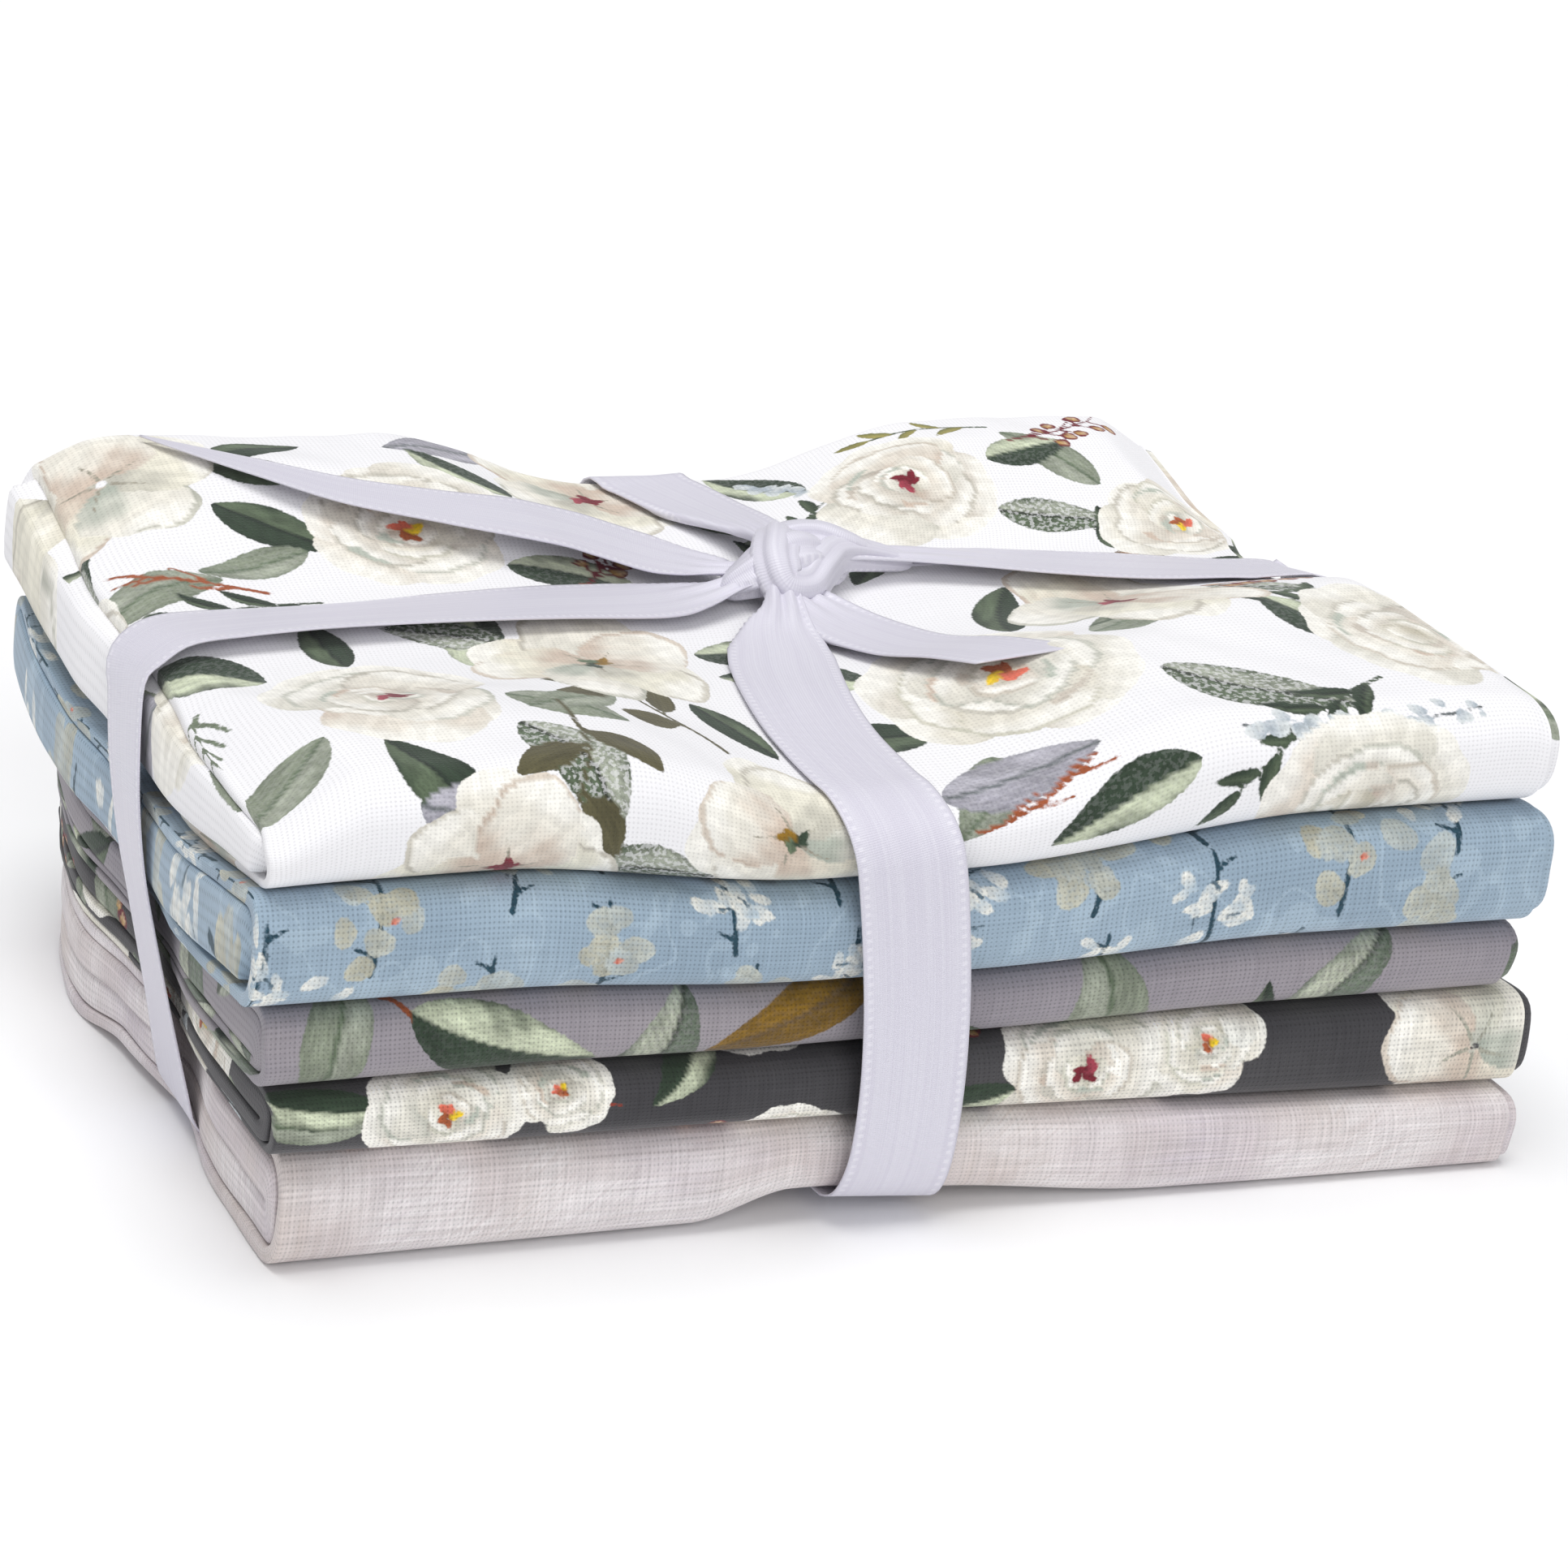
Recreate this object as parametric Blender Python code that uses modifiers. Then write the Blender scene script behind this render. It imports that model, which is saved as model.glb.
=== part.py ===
"""Fat quarter bundle: five folded quilting cottons in a stack, tied crosswise with a satin ribbon.

Frame: +X runs along the folded length to the right, +Y to the back, +Z up. The origin is the middle of
the stack's footprint at the resting surface. Sizes are in millimetres, and MM turns them into metres.

Each fat quarter is folded in three along its length, which makes a strip of three plies, and then twice
across its depth. Seen from the left end its section is a back-and-forth of four layers: along the bottom,
round the full-height front fold, back along the top, down the back fold, forward inside, round a small
inner front fold and back to the cut edge. One layer of the solid stands for three plies of cloth.

The solids are built in the straightened stack's own plan, where u = 0 is the line of the ribbon across
and v = 0 the line of the ribbon along. plan() bends that to where the ribbons really lie.
"""
import math

import bmesh
import bpy
from mathutils import Vector

MM = 0.001

# --- The stack ---------------------------------------------------------------------------------------
HALF_LENGTH = 90.0         # half the folded length, along X
HALF_DEPTH = 58.0          # half the folded depth, along Y
NEIGHBOUR_GAP = 0.3        # clearance between two touching cloths
LAYER = 2.2                # thickness of one folded layer of three plies
LAYER_SHARE = 0.18         # the same layer as a share of its pad's height
LAYER_LEVELS = (0.09, 0.363, 0.637, 0.91)   # middle of each layer, as a share of the pad's height
OUTER_FOLD = 6.2           # how far the full-height front fold reaches past its straight layers
INNER_FOLD = 3.2           # the same for the small folds
NEST_GAP = 1.0             # between the full-height fold and the small fold inside it
CUT_EDGE_INSET = 1.5       # the outer cut edge stops this far short of the back fold, the inner twice that
OUTER_FOLD_STEPS = 6       # facets round the full-height fold
SMALL_FOLD_STEPS = 4       # and round the small ones

# Where the solids have vertices, so that touching cloths share their facets.
STATIONS_U = (-76.0, -58.0, -40.0, -24.0, -9.0, 9.0, 24.0, 40.0, 58.0, 76.0)
STATIONS_V = (-44.0, -30.0, -19.0, -9.0, 9.0, 19.0, 30.0, 44.0)
BACK_STATION = 53.0        # one more, for the layers that touch a neighbour
FRONT_STATION = -50.0      # and one for the ribbon, just behind the front folds

# The surfaces between the pads: heights at the four corners (left or right, front or back), how deep the
# ribbon across (along Y) and the ribbon along (along X) press in, and how far the hollow beside it reaches.
#                left_front right_front left_back right_back  across  along  reach
SURFACES = {
    "linen_top":    (17.5,     12.0,       16.0,     13.5,     -0.5,   1.5,   70.0),
    "charcoal_top": (26.5,     26.2,       26.0,     26.0,      1.2,   3.0,   70.0),
    "grey_top":     (38.6,     36.6,       37.0,     37.0,      3.2,   6.0,   75.0),
    "blue_top":     (54.0,     54.2,       51.5,     54.0,      6.0,   7.0,   75.0),
    "white_top":    (66.5,     68.5,       72.0,     72.5,      8.5,   9.5,   44.0),
}
RIBBON_ARCH = 2.0          # how far the lowest pad lifts off the surface above the ribbon
FRONT_ARCH = 1.6           # how much more it lifts at the front edge, where the ribbon pulls it up
FRONT_ARCH_FROM = -23.0    # v where that extra lift starts
FRONT_ARCH_FULL = -52.0    # and where it is whole
ARCH_REACH = 24.0          # half the width of that arch
PRESSED_HALF = 9.0         # the hollows are flat under the ribbon, this far to each side
END_NIP = 2.0              # the ribbon along presses the ends in this much
CORNER_NIP = 5.0           # and this much more at the stack's top and bottom corner

# One row for each pad: its lower and upper surface, then where its left end, right end, front fold and
# back fold lie. Ends are given at the front and back, folds at the left, middle and right.
PADS = [
    dict(name="fabric_linen", lower=None, upper="linen_top", outer_corner=0.0,
         left=(-84.5, -86.0), right=(92.0, 90.0), front=(-55.5, -57.0, -60.0), back=(57.4, 57.4, 57.4)),
    dict(name="fabric_charcoal_floral", lower="linen_top", upper="charcoal_top", outer_corner=None,
         left=(-87.5, -88.0), right=(91.5, 89.0), front=(-57.5, -57.5, -58.5), back=(57.4, 57.4, 57.4)),
    dict(name="fabric_grey_leaf", lower="charcoal_top", upper="grey_top", outer_corner=None,
         left=(-89.0, -90.5), right=(89.5, 90.0), front=(-57.0, -56.5, -57.0), back=(57.6, 57.4, 57.8)),
    dict(name="fabric_blue_blossom", lower="grey_top", upper="blue_top", outer_corner=None,
         left=(-92.0, -91.0), right=(92.0, 91.0), front=(-58.5, -58.5, -59.5), back=(58.0, 57.6, 58.0)),
    dict(name="fabric_white_floral", lower="blue_top", upper="white_top", outer_corner=1.0,
         left=(-91.5, -92.0), right=(90.5, 91.0), front=(-58.0, -58.0, -58.5), back=(60.5, 59.0, 60.5)),
]

# --- The ribbon --------------------------------------------------------------------------------------
RIBBON_WIDTH = 15.0
RIBBON_THICK = 0.9
RIBBON_LIFT = 0.4          # clearance between ribbon and cloth on the top
RIBBON_UNDER = 0.6         # the same below the stack
CROSS_OVER = 0.3           # the ribbon along passes this much outside the ribbon across
BEND_STEPS = 4
SIDE_LEVEL = 40.0          # below this height a ribbon is level across its width
TOP_LEVEL = 55.0           # above this one it follows the cloth's slope

# The line of the ribbon across as (v, X), and of the ribbon along as (u, Y).
ACROSS_LINE = ((-58.0, -7.0), (-30.0, -5.5), (0.0, 5.0), (58.0, 6.0))
ALONG_LINE = ((-90.0, 3.0), (-60.0, 13.0), (0.0, 16.0), (90.0, 20.0))

# How the ribbon runs down each side of the stack: the reach of its bends at the top and below, which are
# tight at the back, where the pads' cut edges are, and its run as (height, distance out from the middle).
SIDES = {
    "front": dict(top_bend=7.5, low_bend=7.5,
                  run=((50.0, -60.2), (22.0, -60.6), (11.0, -59.6))),
    "back": dict(top_bend=4.8, low_bend=2.0,
                 run=((50.0, 60.6), (22.0, 59.0), (4.5, 58.2))),
    "left": dict(top_bend=7.5, low_bend=7.5,
                 run=((50.0, -90.6), (33.0, -90.3), (22.0, -88.6), (9.0, -85.6))),
    "right": dict(top_bend=7.5, low_bend=7.5,
                  run=((50.0, 91.0), (33.0, 91.2), (22.0, 91.0), (9.0, 90.8))),
}

# Half the ribbon along's width at u, narrow where it is bunched to the right of the knot.
ALONG_HALF_WIDTH = ((-90.0, 7.5), (-10.0, 7.5), (10.0, 2.8), (70.0, 2.8), (90.0, 4.5))

# The two free ends as (u, v, lift above the cloth, half width). The first crosses the left back quarter.
TAIL_LEFT = (
    (-2.0, 2.0, 3.0, 5.0),
    (-10.0, 9.0, 1.6, 7.0),
    (-22.0, 15.0, 0.9, 7.4),
    (-34.5, 22.0, 0.9, 7.5),
    (-45.0, 29.0, 0.9, 7.2),
    (-56.0, 37.0, 0.9, 6.0),
    (-65.0, 44.0, 0.9, 3.6),
    (-71.0, 50.0, 1.0, 1.2),
)
TAIL_RIGHT = (
    (3.0, -3.0, 2.6, 4.0),
    (10.0, -11.0, 1.2, 6.5),
    (17.0, -19.0, 0.9, 7.4),
    (24.0, -27.0, 0.9, 7.5),
    (30.0, -34.0, 0.9, 7.5),
)
TAIL_STEP = 3              # rows of the band between two of those points
TAIL_COLUMNS = (1.0, 0.5, 0.0, -0.5, -1.0)   # places across the band, as shares of its half width

# The knot's rounded lumps, from the crossing: offset in X, Y and Z, then the half sizes.
KNOT_LIFT = 4.5
KNOT_LUMPS = (
    ((0.0, 0.0, 0.0), (6.6, 6.2, 3.8)),
    ((4.2, 2.6, 1.2), (4.6, 4.2, 3.2)),
    ((-3.4, -2.4, 0.4), (4.4, 4.8, 3.0)),
)
KNOT_SEGMENTS = 12         # facets round a lump
KNOT_RINGS = 8             # and from its foot to its top

COLOURS = {
    "fabric_linen": (0.62, 0.55, 0.53),
    "fabric_charcoal_floral": (0.06, 0.06, 0.065),
    "fabric_grey_leaf": (0.33, 0.30, 0.33),
    "fabric_blue_blossom": (0.28, 0.38, 0.48),
    "fabric_white_floral": (0.86, 0.85, 0.82),
    "ribbon": (0.74, 0.71, 0.82),
}
CLOTH_ROUGHNESS = 0.9
SATIN_ROUGHNESS = 0.35


# --- Shared shape functions --------------------------------------------------------------------------
def smooth_step(t):
    t = min(max(t, 0.0), 1.0)
    return t * t * (3.0 - 2.0 * t)


def mix(a, b, t):
    return a + (b - a) * t


def along_table(table, key):
    """The value at key of a table of (key, value) rows in rising order, on straight lines between rows."""
    for row, after in zip(table, table[1:]):
        if key <= after[0]:
            break
    t = min(max((key - row[0]) / (after[0] - row[0]), 0.0), 1.0)
    return mix(row[1], after[1], t)


def three_way(row, u):
    """The value at u of a row that holds it at the left end, the middle and the right end."""
    return along_table(((-HALF_LENGTH, row[0]), (0.0, row[1]), (HALF_LENGTH, row[2])), u)


def plan(u, v):
    """X and Y of a point of the straightened stack."""
    x = u + along_table(ACROSS_LINE, v) * max(0.0, 1.0 - abs(u) / HALF_LENGTH)
    y = v + along_table(ALONG_LINE, u) * max(0.0, 1.0 - abs(v) / HALF_DEPTH)
    return x, y


def pressed(distance, reach):
    """1 under the ribbon, falling softly to 0 at the hollow's reach."""
    return 1.0 - smooth_step((abs(distance) - PRESSED_HALF) / (reach - PRESSED_HALF))


def surface_height(name, u, v):
    """Height of the surface between two pads. None is the underside of the stack."""
    if name is None:
        arch = max(pressed(u, ARCH_REACH), pressed(v, ARCH_REACH))
        front = smooth_step((v - FRONT_ARCH_FROM) / (FRONT_ARCH_FULL - FRONT_ARCH_FROM))
        return RIBBON_ARCH * arch + FRONT_ARCH * front * pressed(u, ARCH_REACH)
    left_front, right_front, left_back, right_back, across, along, reach = SURFACES[name]
    t = u / (2 * HALF_LENGTH) + 0.5
    level = mix(mix(left_front, right_front, t), mix(left_back, right_back, t), v / (2 * HALF_DEPTH) + 0.5)
    hollow_across = across * pressed(u, reach)
    hollow_along = along * pressed(v, reach)
    deepest = max(abs(hollow_across), abs(hollow_along), 1e-6)
    blend = (abs(hollow_across / deepest) ** 4 + abs(hollow_along / deepest) ** 4) ** 0.25
    return level - math.copysign(deepest * blend, hollow_across + hollow_along)


# --- Pads --------------------------------------------------------------------------------------------
def run(points, v_from, v_to, level, stations):
    """A straight layer from v_from to v_to, with vertices at the given stations between them."""
    heading = 1.0 if v_to > v_from else -1.0
    stops = [v_from, *(stations if heading > 0 else stations[::-1]), v_to]
    half = heading * LAYER_SHARE / 2
    points += [((v, level + half), (v, level - half)) for v in stops]


def fold(points, centre, reach, levels, side, outer, steps):
    """A half-round fold between two levels. side is -1 at the front and 1 at the back, and outer is 1
    where the cloth's outer face is outside the fold, or -1 where it is inside."""
    from_level, to_level = levels
    middle, rise = (from_level + to_level) / 2, (from_level - to_level) / 2
    for k in range(1, steps):
        angle = math.pi * k / steps
        pair = []
        for face in (outer, -outer):
            wide = reach + (face - 1) * LAYER / 2
            high = abs(rise) + face * LAYER_SHARE / 2
            pair.append((centre + side * wide * math.sin(angle),
                         middle + math.copysign(high, rise) * math.cos(angle)))
        points.append(tuple(pair))


def section(pad, u):
    """The outer and inner face of the folded cloth at u, as pairs of (v, share of the pad's height)."""
    front, back = three_way(pad["front"], u), three_way(pad["back"], u)
    bottom, low, high, top = LAYER_LEVELS
    touching = (*STATIONS_V, BACK_STATION)
    front_turn, back_turn = front + OUTER_FOLD, back - INNER_FOLD
    nested_turn = front + LAYER + NEST_GAP + INNER_FOLD
    points = []
    run(points, back - CUT_EDGE_INSET, front_turn, bottom, touching)
    fold(points, front_turn, OUTER_FOLD, (bottom, top), -1, 1, OUTER_FOLD_STEPS)
    run(points, front_turn, back_turn, top, touching)
    fold(points, back_turn, INNER_FOLD, (top, high), 1, 1, SMALL_FOLD_STEPS)
    run(points, back_turn, nested_turn, high, STATIONS_V)
    fold(points, nested_turn, INNER_FOLD, (high, low), -1, -1, SMALL_FOLD_STEPS)
    run(points, nested_turn, back - 2 * CUT_EDGE_INSET, low, STATIONS_V)
    return points


def nipped_end(pad, side, v, share):
    """u of the pad's left or right end, pressed in where the ribbon along runs over it."""
    front_end, back_end = pad[side]
    corner = 0.0
    if pad["outer_corner"] is not None:
        corner = CORNER_NIP * smooth_step(1.0 - 2.0 * abs(share - pad["outer_corner"]))
    inwards = (END_NIP + corner) * pressed(v, ARCH_REACH)
    end = mix(front_end, back_end, v / (2 * HALF_DEPTH) + 0.5)
    return end + inwards if side == "left" else end - inwards


def pad_point(pad, u, v, share):
    lower, upper = surface_height(pad["lower"], u, v), surface_height(pad["upper"], u, v)
    lower_gap = NEIGHBOUR_GAP / 2 if pad["lower"] else 0.0
    height = upper - lower - lower_gap - NEIGHBOUR_GAP / 2
    x, y = plan(u, v)
    return Vector((x, y, lower + lower_gap + share * height)) * MM


def pad_ring(mesh, pad, station):
    """One section of the pad: at a station, or at an end where station is left or right."""
    at_end = station in ("left", "right")
    middle = sum(pad[station]) / 2 if at_end else station
    ring = []
    for pair in section(pad, middle):
        corners = []
        for v, share in pair:
            u = nipped_end(pad, station, v, share) if at_end else station
            corners.append(mesh.verts.new(pad_point(pad, u, v, share)))
        ring.append(corners)
    return ring


def split_quad(mesh, corners, rising):
    """Two triangles. Their shared edge runs the same way in plan in every layer, so that two facets
    that touch are the same facet."""
    a, b, c, d = corners
    halves = ((a, b, c), (a, c, d)) if rising else ((a, b, d), (b, c, d))
    for half in halves:
        mesh.faces.new(half)


def make_pad(pad, collection):
    """Loft the folded section from the left end to the right end."""
    mesh = bmesh.new()
    rings = [pad_ring(mesh, pad, station) for station in ("left", *STATIONS_U, "right")]
    shape = section(pad, 0.0)
    last = len(shape) - 1
    for left, right in zip(rings, rings[1:]):
        for j in range(last):
            rising = shape[j + 1][0][0] >= shape[j][0][0]
            split_quad(mesh, (left[j][0], right[j][0], right[j + 1][0], left[j + 1][0]), rising)
            split_quad(mesh, (right[j][1], left[j][1], left[j + 1][1], right[j + 1][1]), not rising)
        split_quad(mesh, (left[0][0], left[0][1], right[0][1], right[0][0]), True)
        split_quad(mesh, (right[last][0], right[last][1], left[last][1], left[last][0]), True)
    for ring in (rings[0], rings[-1]):
        for j in range(last):
            split_quad(mesh, (ring[j][0], ring[j + 1][0], ring[j + 1][1], ring[j][1]), True)
    bmesh.ops.recalc_face_normals(mesh, faces=mesh.faces[:])
    return finish_mesh(pad["name"], mesh, collection)


def finish_mesh(name, mesh, collection):
    data = bpy.data.meshes.new(name)
    mesh.to_mesh(data)
    mesh.free()
    thing = bpy.data.objects.new(name, data)
    collection.objects.link(thing)
    return thing


# --- Ribbon ------------------------------------------------------------------------------------------
def facet_height(u, v):
    """Height of the white pad's top between its stations, where its facets are flat."""
    def cell(stops, value):
        k = max([i for i in range(len(stops) - 1) if stops[i] <= value], default=0)
        return stops[k], stops[k + 1], (value - stops[k]) / (stops[k + 1] - stops[k])
    u0, u1, s = cell((-HALF_LENGTH, *STATIONS_U, HALF_LENGTH), u)
    v0, v1, t = cell((-HALF_DEPTH + OUTER_FOLD, *STATIONS_V, BACK_STATION, HALF_DEPTH), v)
    (near_left, near_right), (far_left, far_right) = [
        [surface_height("white_top", a, b) for a in (u0, u1)] for b in (v0, v1)]
    if s > t:
        return near_left + (near_right - near_left) * s + (far_right - near_right) * t
    return near_left + (far_left - near_left) * t + (far_right - far_left) * s


def bend(corner, reach, rise, downwards):
    """A ribbon's quarter turn inside a corner (out, up). reach and rise point from the corner to where
    the turn leaves the level run and the upright one. downwards is the order of the points."""
    angles = [math.pi / 2 * k / BEND_STEPS for k in range(1, BEND_STEPS)]
    points = [(corner[0] + reach * (1 - math.cos(a)), corner[1] + rise * (1 - math.sin(a))) for a in angles]
    points = [(corner[0], corner[1] + rise), *points, (corner[0] + reach, corner[1])]
    return points[::-1] if downwards else points


def loop_path(stops, over, under, near, far):
    """The closed path of a ribbon round the stack as (distance along, height): over the top, down the
    far side, back under the stack and up the near side."""
    path = [(stop, over(stop)) for stop in stops]
    for side, inwards, down in ((far, -1.0, True), (near, 1.0, False)):
        stop = stops[-1] if down else stops[0]
        top_corner = (side["run"][0][1], over(stop))
        low_corner = (side["run"][-1][1], under(stop))
        top = bend(top_corner, inwards * side["top_bend"], -side["top_bend"], down)
        low = bend(low_corner, inwards * side["low_bend"], side["run"][-1][0] - low_corner[1], not down)
        upright = [(out, up) for up, out in side["run"]]
        if down:
            path += top + upright[:-1] + low
            path += [(place, under(place)) for place in reversed(stops)]
        else:
            path += low + upright[-2::-1] + top
    return path


def band(name, rows, closed, collection):
    """A band of ribbon: an open surface through rows of points, thickened outwards."""
    mesh = bmesh.new()
    grid = [[mesh.verts.new(Vector(point) * MM) for point in row] for row in rows]
    for row, after in zip(grid, grid[1:] + (grid[:1] if closed else [])):
        for k in range(len(row) - 1):
            mesh.faces.new((row[k], row[k + 1], after[k + 1], after[k]))
    thing = finish_mesh(name, mesh, collection)
    thick = thing.modifiers.new("thickness", "SOLIDIFY")
    thick.thickness = RIBBON_THICK * MM
    thick.offset = 1.0
    thick.use_even_offset = True
    return thing


def edge_rise(edge, middle, height):
    """How much higher the white pad's top is under a ribbon's edge than under its middle. It fades out
    down the sides of the stack."""
    tilt = surface_height("white_top", *edge) - surface_height("white_top", *middle)
    return tilt * smooth_step((height - SIDE_LEVEL) / (TOP_LEVEL - SIDE_LEVEL))


def ribbon_across(name, collection):
    """The loop over the top from front to back, down both sides and under the stack."""
    path = loop_path((FRONT_STATION, *STATIONS_V, BACK_STATION),
                     lambda v: surface_height("white_top", 0.0, v) + RIBBON_LIFT,
                     lambda v: surface_height(None, 0.0, v) - RIBBON_UNDER,
                     SIDES["front"], SIDES["back"])
    rows = []
    for v, z in path:
        edges = [(side * RIBBON_WIDTH / 2, v) for side in (-1, 1)]
        rows.append([(*plan(*edge), z + edge_rise(edge, (0.0, v), z)) for edge in edges])
    return band(name, rows, True, collection)


def ribbon_along(name, collection):
    """The loop over the top from left to right, down both ends and under the stack."""
    path = loop_path(STATIONS_U,
                     lambda u: surface_height("white_top", u, 0.0) + RIBBON_LIFT + CROSS_OVER,
                     lambda u: surface_height(None, u, 0.0) - RIBBON_UNDER - CROSS_OVER,
                     SIDES["left"], SIDES["right"])
    rows = []
    for u, z in path:
        half = along_table(ALONG_HALF_WIDTH, u)
        edges = [(u, side * half) for side in (1, -1)]
        rows.append([(*plan(*edge), z + edge_rise(edge, (u, 0.0), z)) for edge in edges])
    return band(name, rows, True, collection)


def free_end(name, route, collection):
    """A tail of ribbon that lies on the cloth along its route."""
    stops = []
    for start, end in zip(route, route[1:]):
        stops += [[mix(a, b, k / TAIL_STEP) for a, b in zip(start, end)] for k in range(TAIL_STEP)]
    stops.append(list(route[-1]))
    rows = []
    for k, (u, v, lift, half) in enumerate(stops):
        before, after = stops[max(k - 1, 0)], stops[min(k + 1, len(stops) - 1)]
        heading = Vector((after[0] - before[0], after[1] - before[1])).normalized()
        row = []
        for side in TAIL_COLUMNS:
            a, b = u - heading.y * half * side, v + heading.x * half * side
            row.append((*plan(a, b), facet_height(a, b) + lift))
        rows.append(row)
    return band(name, rows, False, collection)


def knot_lump(name, offset, half_sizes, collection):
    x, y = plan(0.0, 0.0)
    z = surface_height("white_top", 0.0, 0.0) + KNOT_LIFT
    bpy.ops.mesh.primitive_uv_sphere_add(segments=KNOT_SEGMENTS, ring_count=KNOT_RINGS, radius=MM)
    lump = bpy.context.object
    lump.name = name
    lump.location = (Vector((x, y, z)) + Vector(offset)) * MM
    lump.scale = half_sizes
    for owner in list(lump.users_collection):
        owner.objects.unlink(lump)
    collection.objects.link(lump)
    return lump


def make_ribbon(collection, joined):
    """One ribbon: its two loops, the knot and the two free ends, joined into one solid."""
    ribbon = ribbon_across("ribbon", collection)
    pieces = [ribbon_along("ribbon_along_loop", joined),
              free_end("ribbon_left_end", TAIL_LEFT, joined),
              free_end("ribbon_right_end", TAIL_RIGHT, joined)]
    pieces += [knot_lump("knot_lump", offset, sizes, joined) for offset, sizes in KNOT_LUMPS]
    for piece in pieces:
        piece.hide_render = True
        piece.display_type = "WIRE"
        union = ribbon.modifiers.new(piece.name, "BOOLEAN")
        union.operation = "UNION"
        union.object = piece
    return ribbon


def make_material(name):
    material = bpy.data.materials.new(name)
    material.use_nodes = True
    shader = material.node_tree.nodes["Principled BSDF"]
    shader.inputs["Base Color"].default_value = (*COLOURS[name], 1.0)
    shader.inputs["Roughness"].default_value = SATIN_ROUGHNESS if name == "ribbon" else CLOTH_ROUGHNESS
    shader.inputs["Metallic"].default_value = 0.0
    return material


def main():
    for thing in list(bpy.data.objects):
        bpy.data.objects.remove(thing, do_unlink=True)
    parts = bpy.data.collections.new("fat_quarter_bundle")
    joined = bpy.data.collections.new("joined_pieces")
    for collection in (parts, joined):
        bpy.context.scene.collection.children.link(collection)
    things = [make_pad(pad, parts) for pad in PADS]
    things.append(make_ribbon(parts, joined))
    for thing in things:
        thing.data.materials.append(make_material(thing.name))


main()
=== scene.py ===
"""Fat quarter bundle: five folded quilting cottons in a stack, tied crosswise with a satin ribbon.

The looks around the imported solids, in the same frame: +X along the folded length to the right, +Y to the
back, +Z up. Sizes are in millimetres, and MM turns them into metres.

Each cloth is one thin sheet of 533 by 457 mm. It is folded in three along X (plies C, A and B, where C is
the outer one) and then twice across Y. The stack's own plan has u = 0 on the line of the ribbon across
and v = 0 on the line of the ribbon along, and plan() bends that to where the ribbons lie.
"""
import math

import bpy
import numpy as np
from mathutils import Matrix, Vector


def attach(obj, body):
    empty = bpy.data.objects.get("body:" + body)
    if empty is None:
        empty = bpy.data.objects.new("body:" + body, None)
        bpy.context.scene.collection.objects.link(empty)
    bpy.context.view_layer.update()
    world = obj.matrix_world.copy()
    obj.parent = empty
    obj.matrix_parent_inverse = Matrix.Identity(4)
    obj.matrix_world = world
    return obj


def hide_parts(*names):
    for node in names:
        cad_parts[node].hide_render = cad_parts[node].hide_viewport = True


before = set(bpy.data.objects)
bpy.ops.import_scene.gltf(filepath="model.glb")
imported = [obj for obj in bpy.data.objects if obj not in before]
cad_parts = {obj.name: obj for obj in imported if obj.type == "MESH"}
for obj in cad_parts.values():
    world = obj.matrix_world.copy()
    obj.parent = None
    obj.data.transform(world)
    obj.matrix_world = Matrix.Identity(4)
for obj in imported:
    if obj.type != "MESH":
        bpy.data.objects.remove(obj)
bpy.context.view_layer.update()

MM = 0.001
CLOTH_LENGTH = 533.4       # flat size of each cloth

# --- The stack ---
HALF_LENGTH = 90.0
HALF_DEPTH = 58.0
NEIGHBOUR_GAP = 0.3        # between two cloths in the stack
OUTER_FOLD = 6.2           # how far the full-height front fold reaches past its straight layers
WRAP_SHARE = 0.13          # thickness of the outer wrap, as a share of the pad's height
WRAP_WALL = 1.7            # the same at the front fold, in millimetres
LAYER_GAP = 0.012          # share of the height left between two layers
BACK_FOLD = 4.2            # how far the back fold of the upper two layers reaches past them
NOSE_FOLD = 4.4            # the same for the inner fold at the front
NOSE_INSET = 2.4           # the inner fold lies this far behind the front fold
NOSE_POWER = 2.8           # how round that fold is, where 2 is an ellipse
END_POWER = 4.0            # the same for the folds at the left end
CUT_EDGE_INSET = 1.5       # the cut edges lie this far inside the back fold
BACK_TURN = 0.6            # how far the inner ply turns out in the back fold
NOSE_TURN = 0.4            # the same in the inner fold
SPREAD_FROM = 76.0         # the upper inner layer spreads down beyond this distance from the middle
SPREAD_OVER = 9.0
SPREAD_TO = 0.05           # down to this share of the height above the bottom wrap
CLOSE_FROM = 0.75          # the lower inner layer thins out from here to its cut edge
CLOSE_OUTER, CLOSE_INNER = 0.03, 0.02

# The upper surface of each cloth: its height at the four corners, how deep the ribbons across and along
# press it, and how far from their middle.
#                left_front right_front left_back right_back  across  along  reach
SURFACES = {
    "linen_top":    (17.5,     11.2,       16.0,     13.5,     -0.5,   1.5,   70.0),
    "charcoal_top": (26.5,     25.3,       26.0,     26.0,      1.2,   3.0,   70.0),
    "grey_top":     (38.6,     36.6,       37.0,     37.0,      3.2,   6.0,   75.0),
    "blue_top":     (54.0,     54.2,       51.5,     54.0,      6.0,   7.0,   75.0),
    "white_top":    (66.5,     68.5,       72.0,     72.5,      8.5,   9.5,   44.0),
}
RIBBON_ARCH = 2.0          # how far the underside lifts over the ribbons
FRONT_ARCH = 2.0           # how much more it lifts at the front, left of the ribbon and over it
RIGHT_ARCH = 0.7           # the same to the right of the ribbon
FRONT_ARCH_FROM = -23.0    # v where that lift starts
FRONT_ARCH_FULL = -52.0    # v where it is whole
ARCH_REACH = 24.0          # the arches end this far from the middle of a ribbon
RIGHT_ARCH_REACH = 42.0    # the same to the right at the front
ARCH_CHANGE_FROM = -6.0    # u where the front arch starts to change from left to right, under the ribbon
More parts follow.
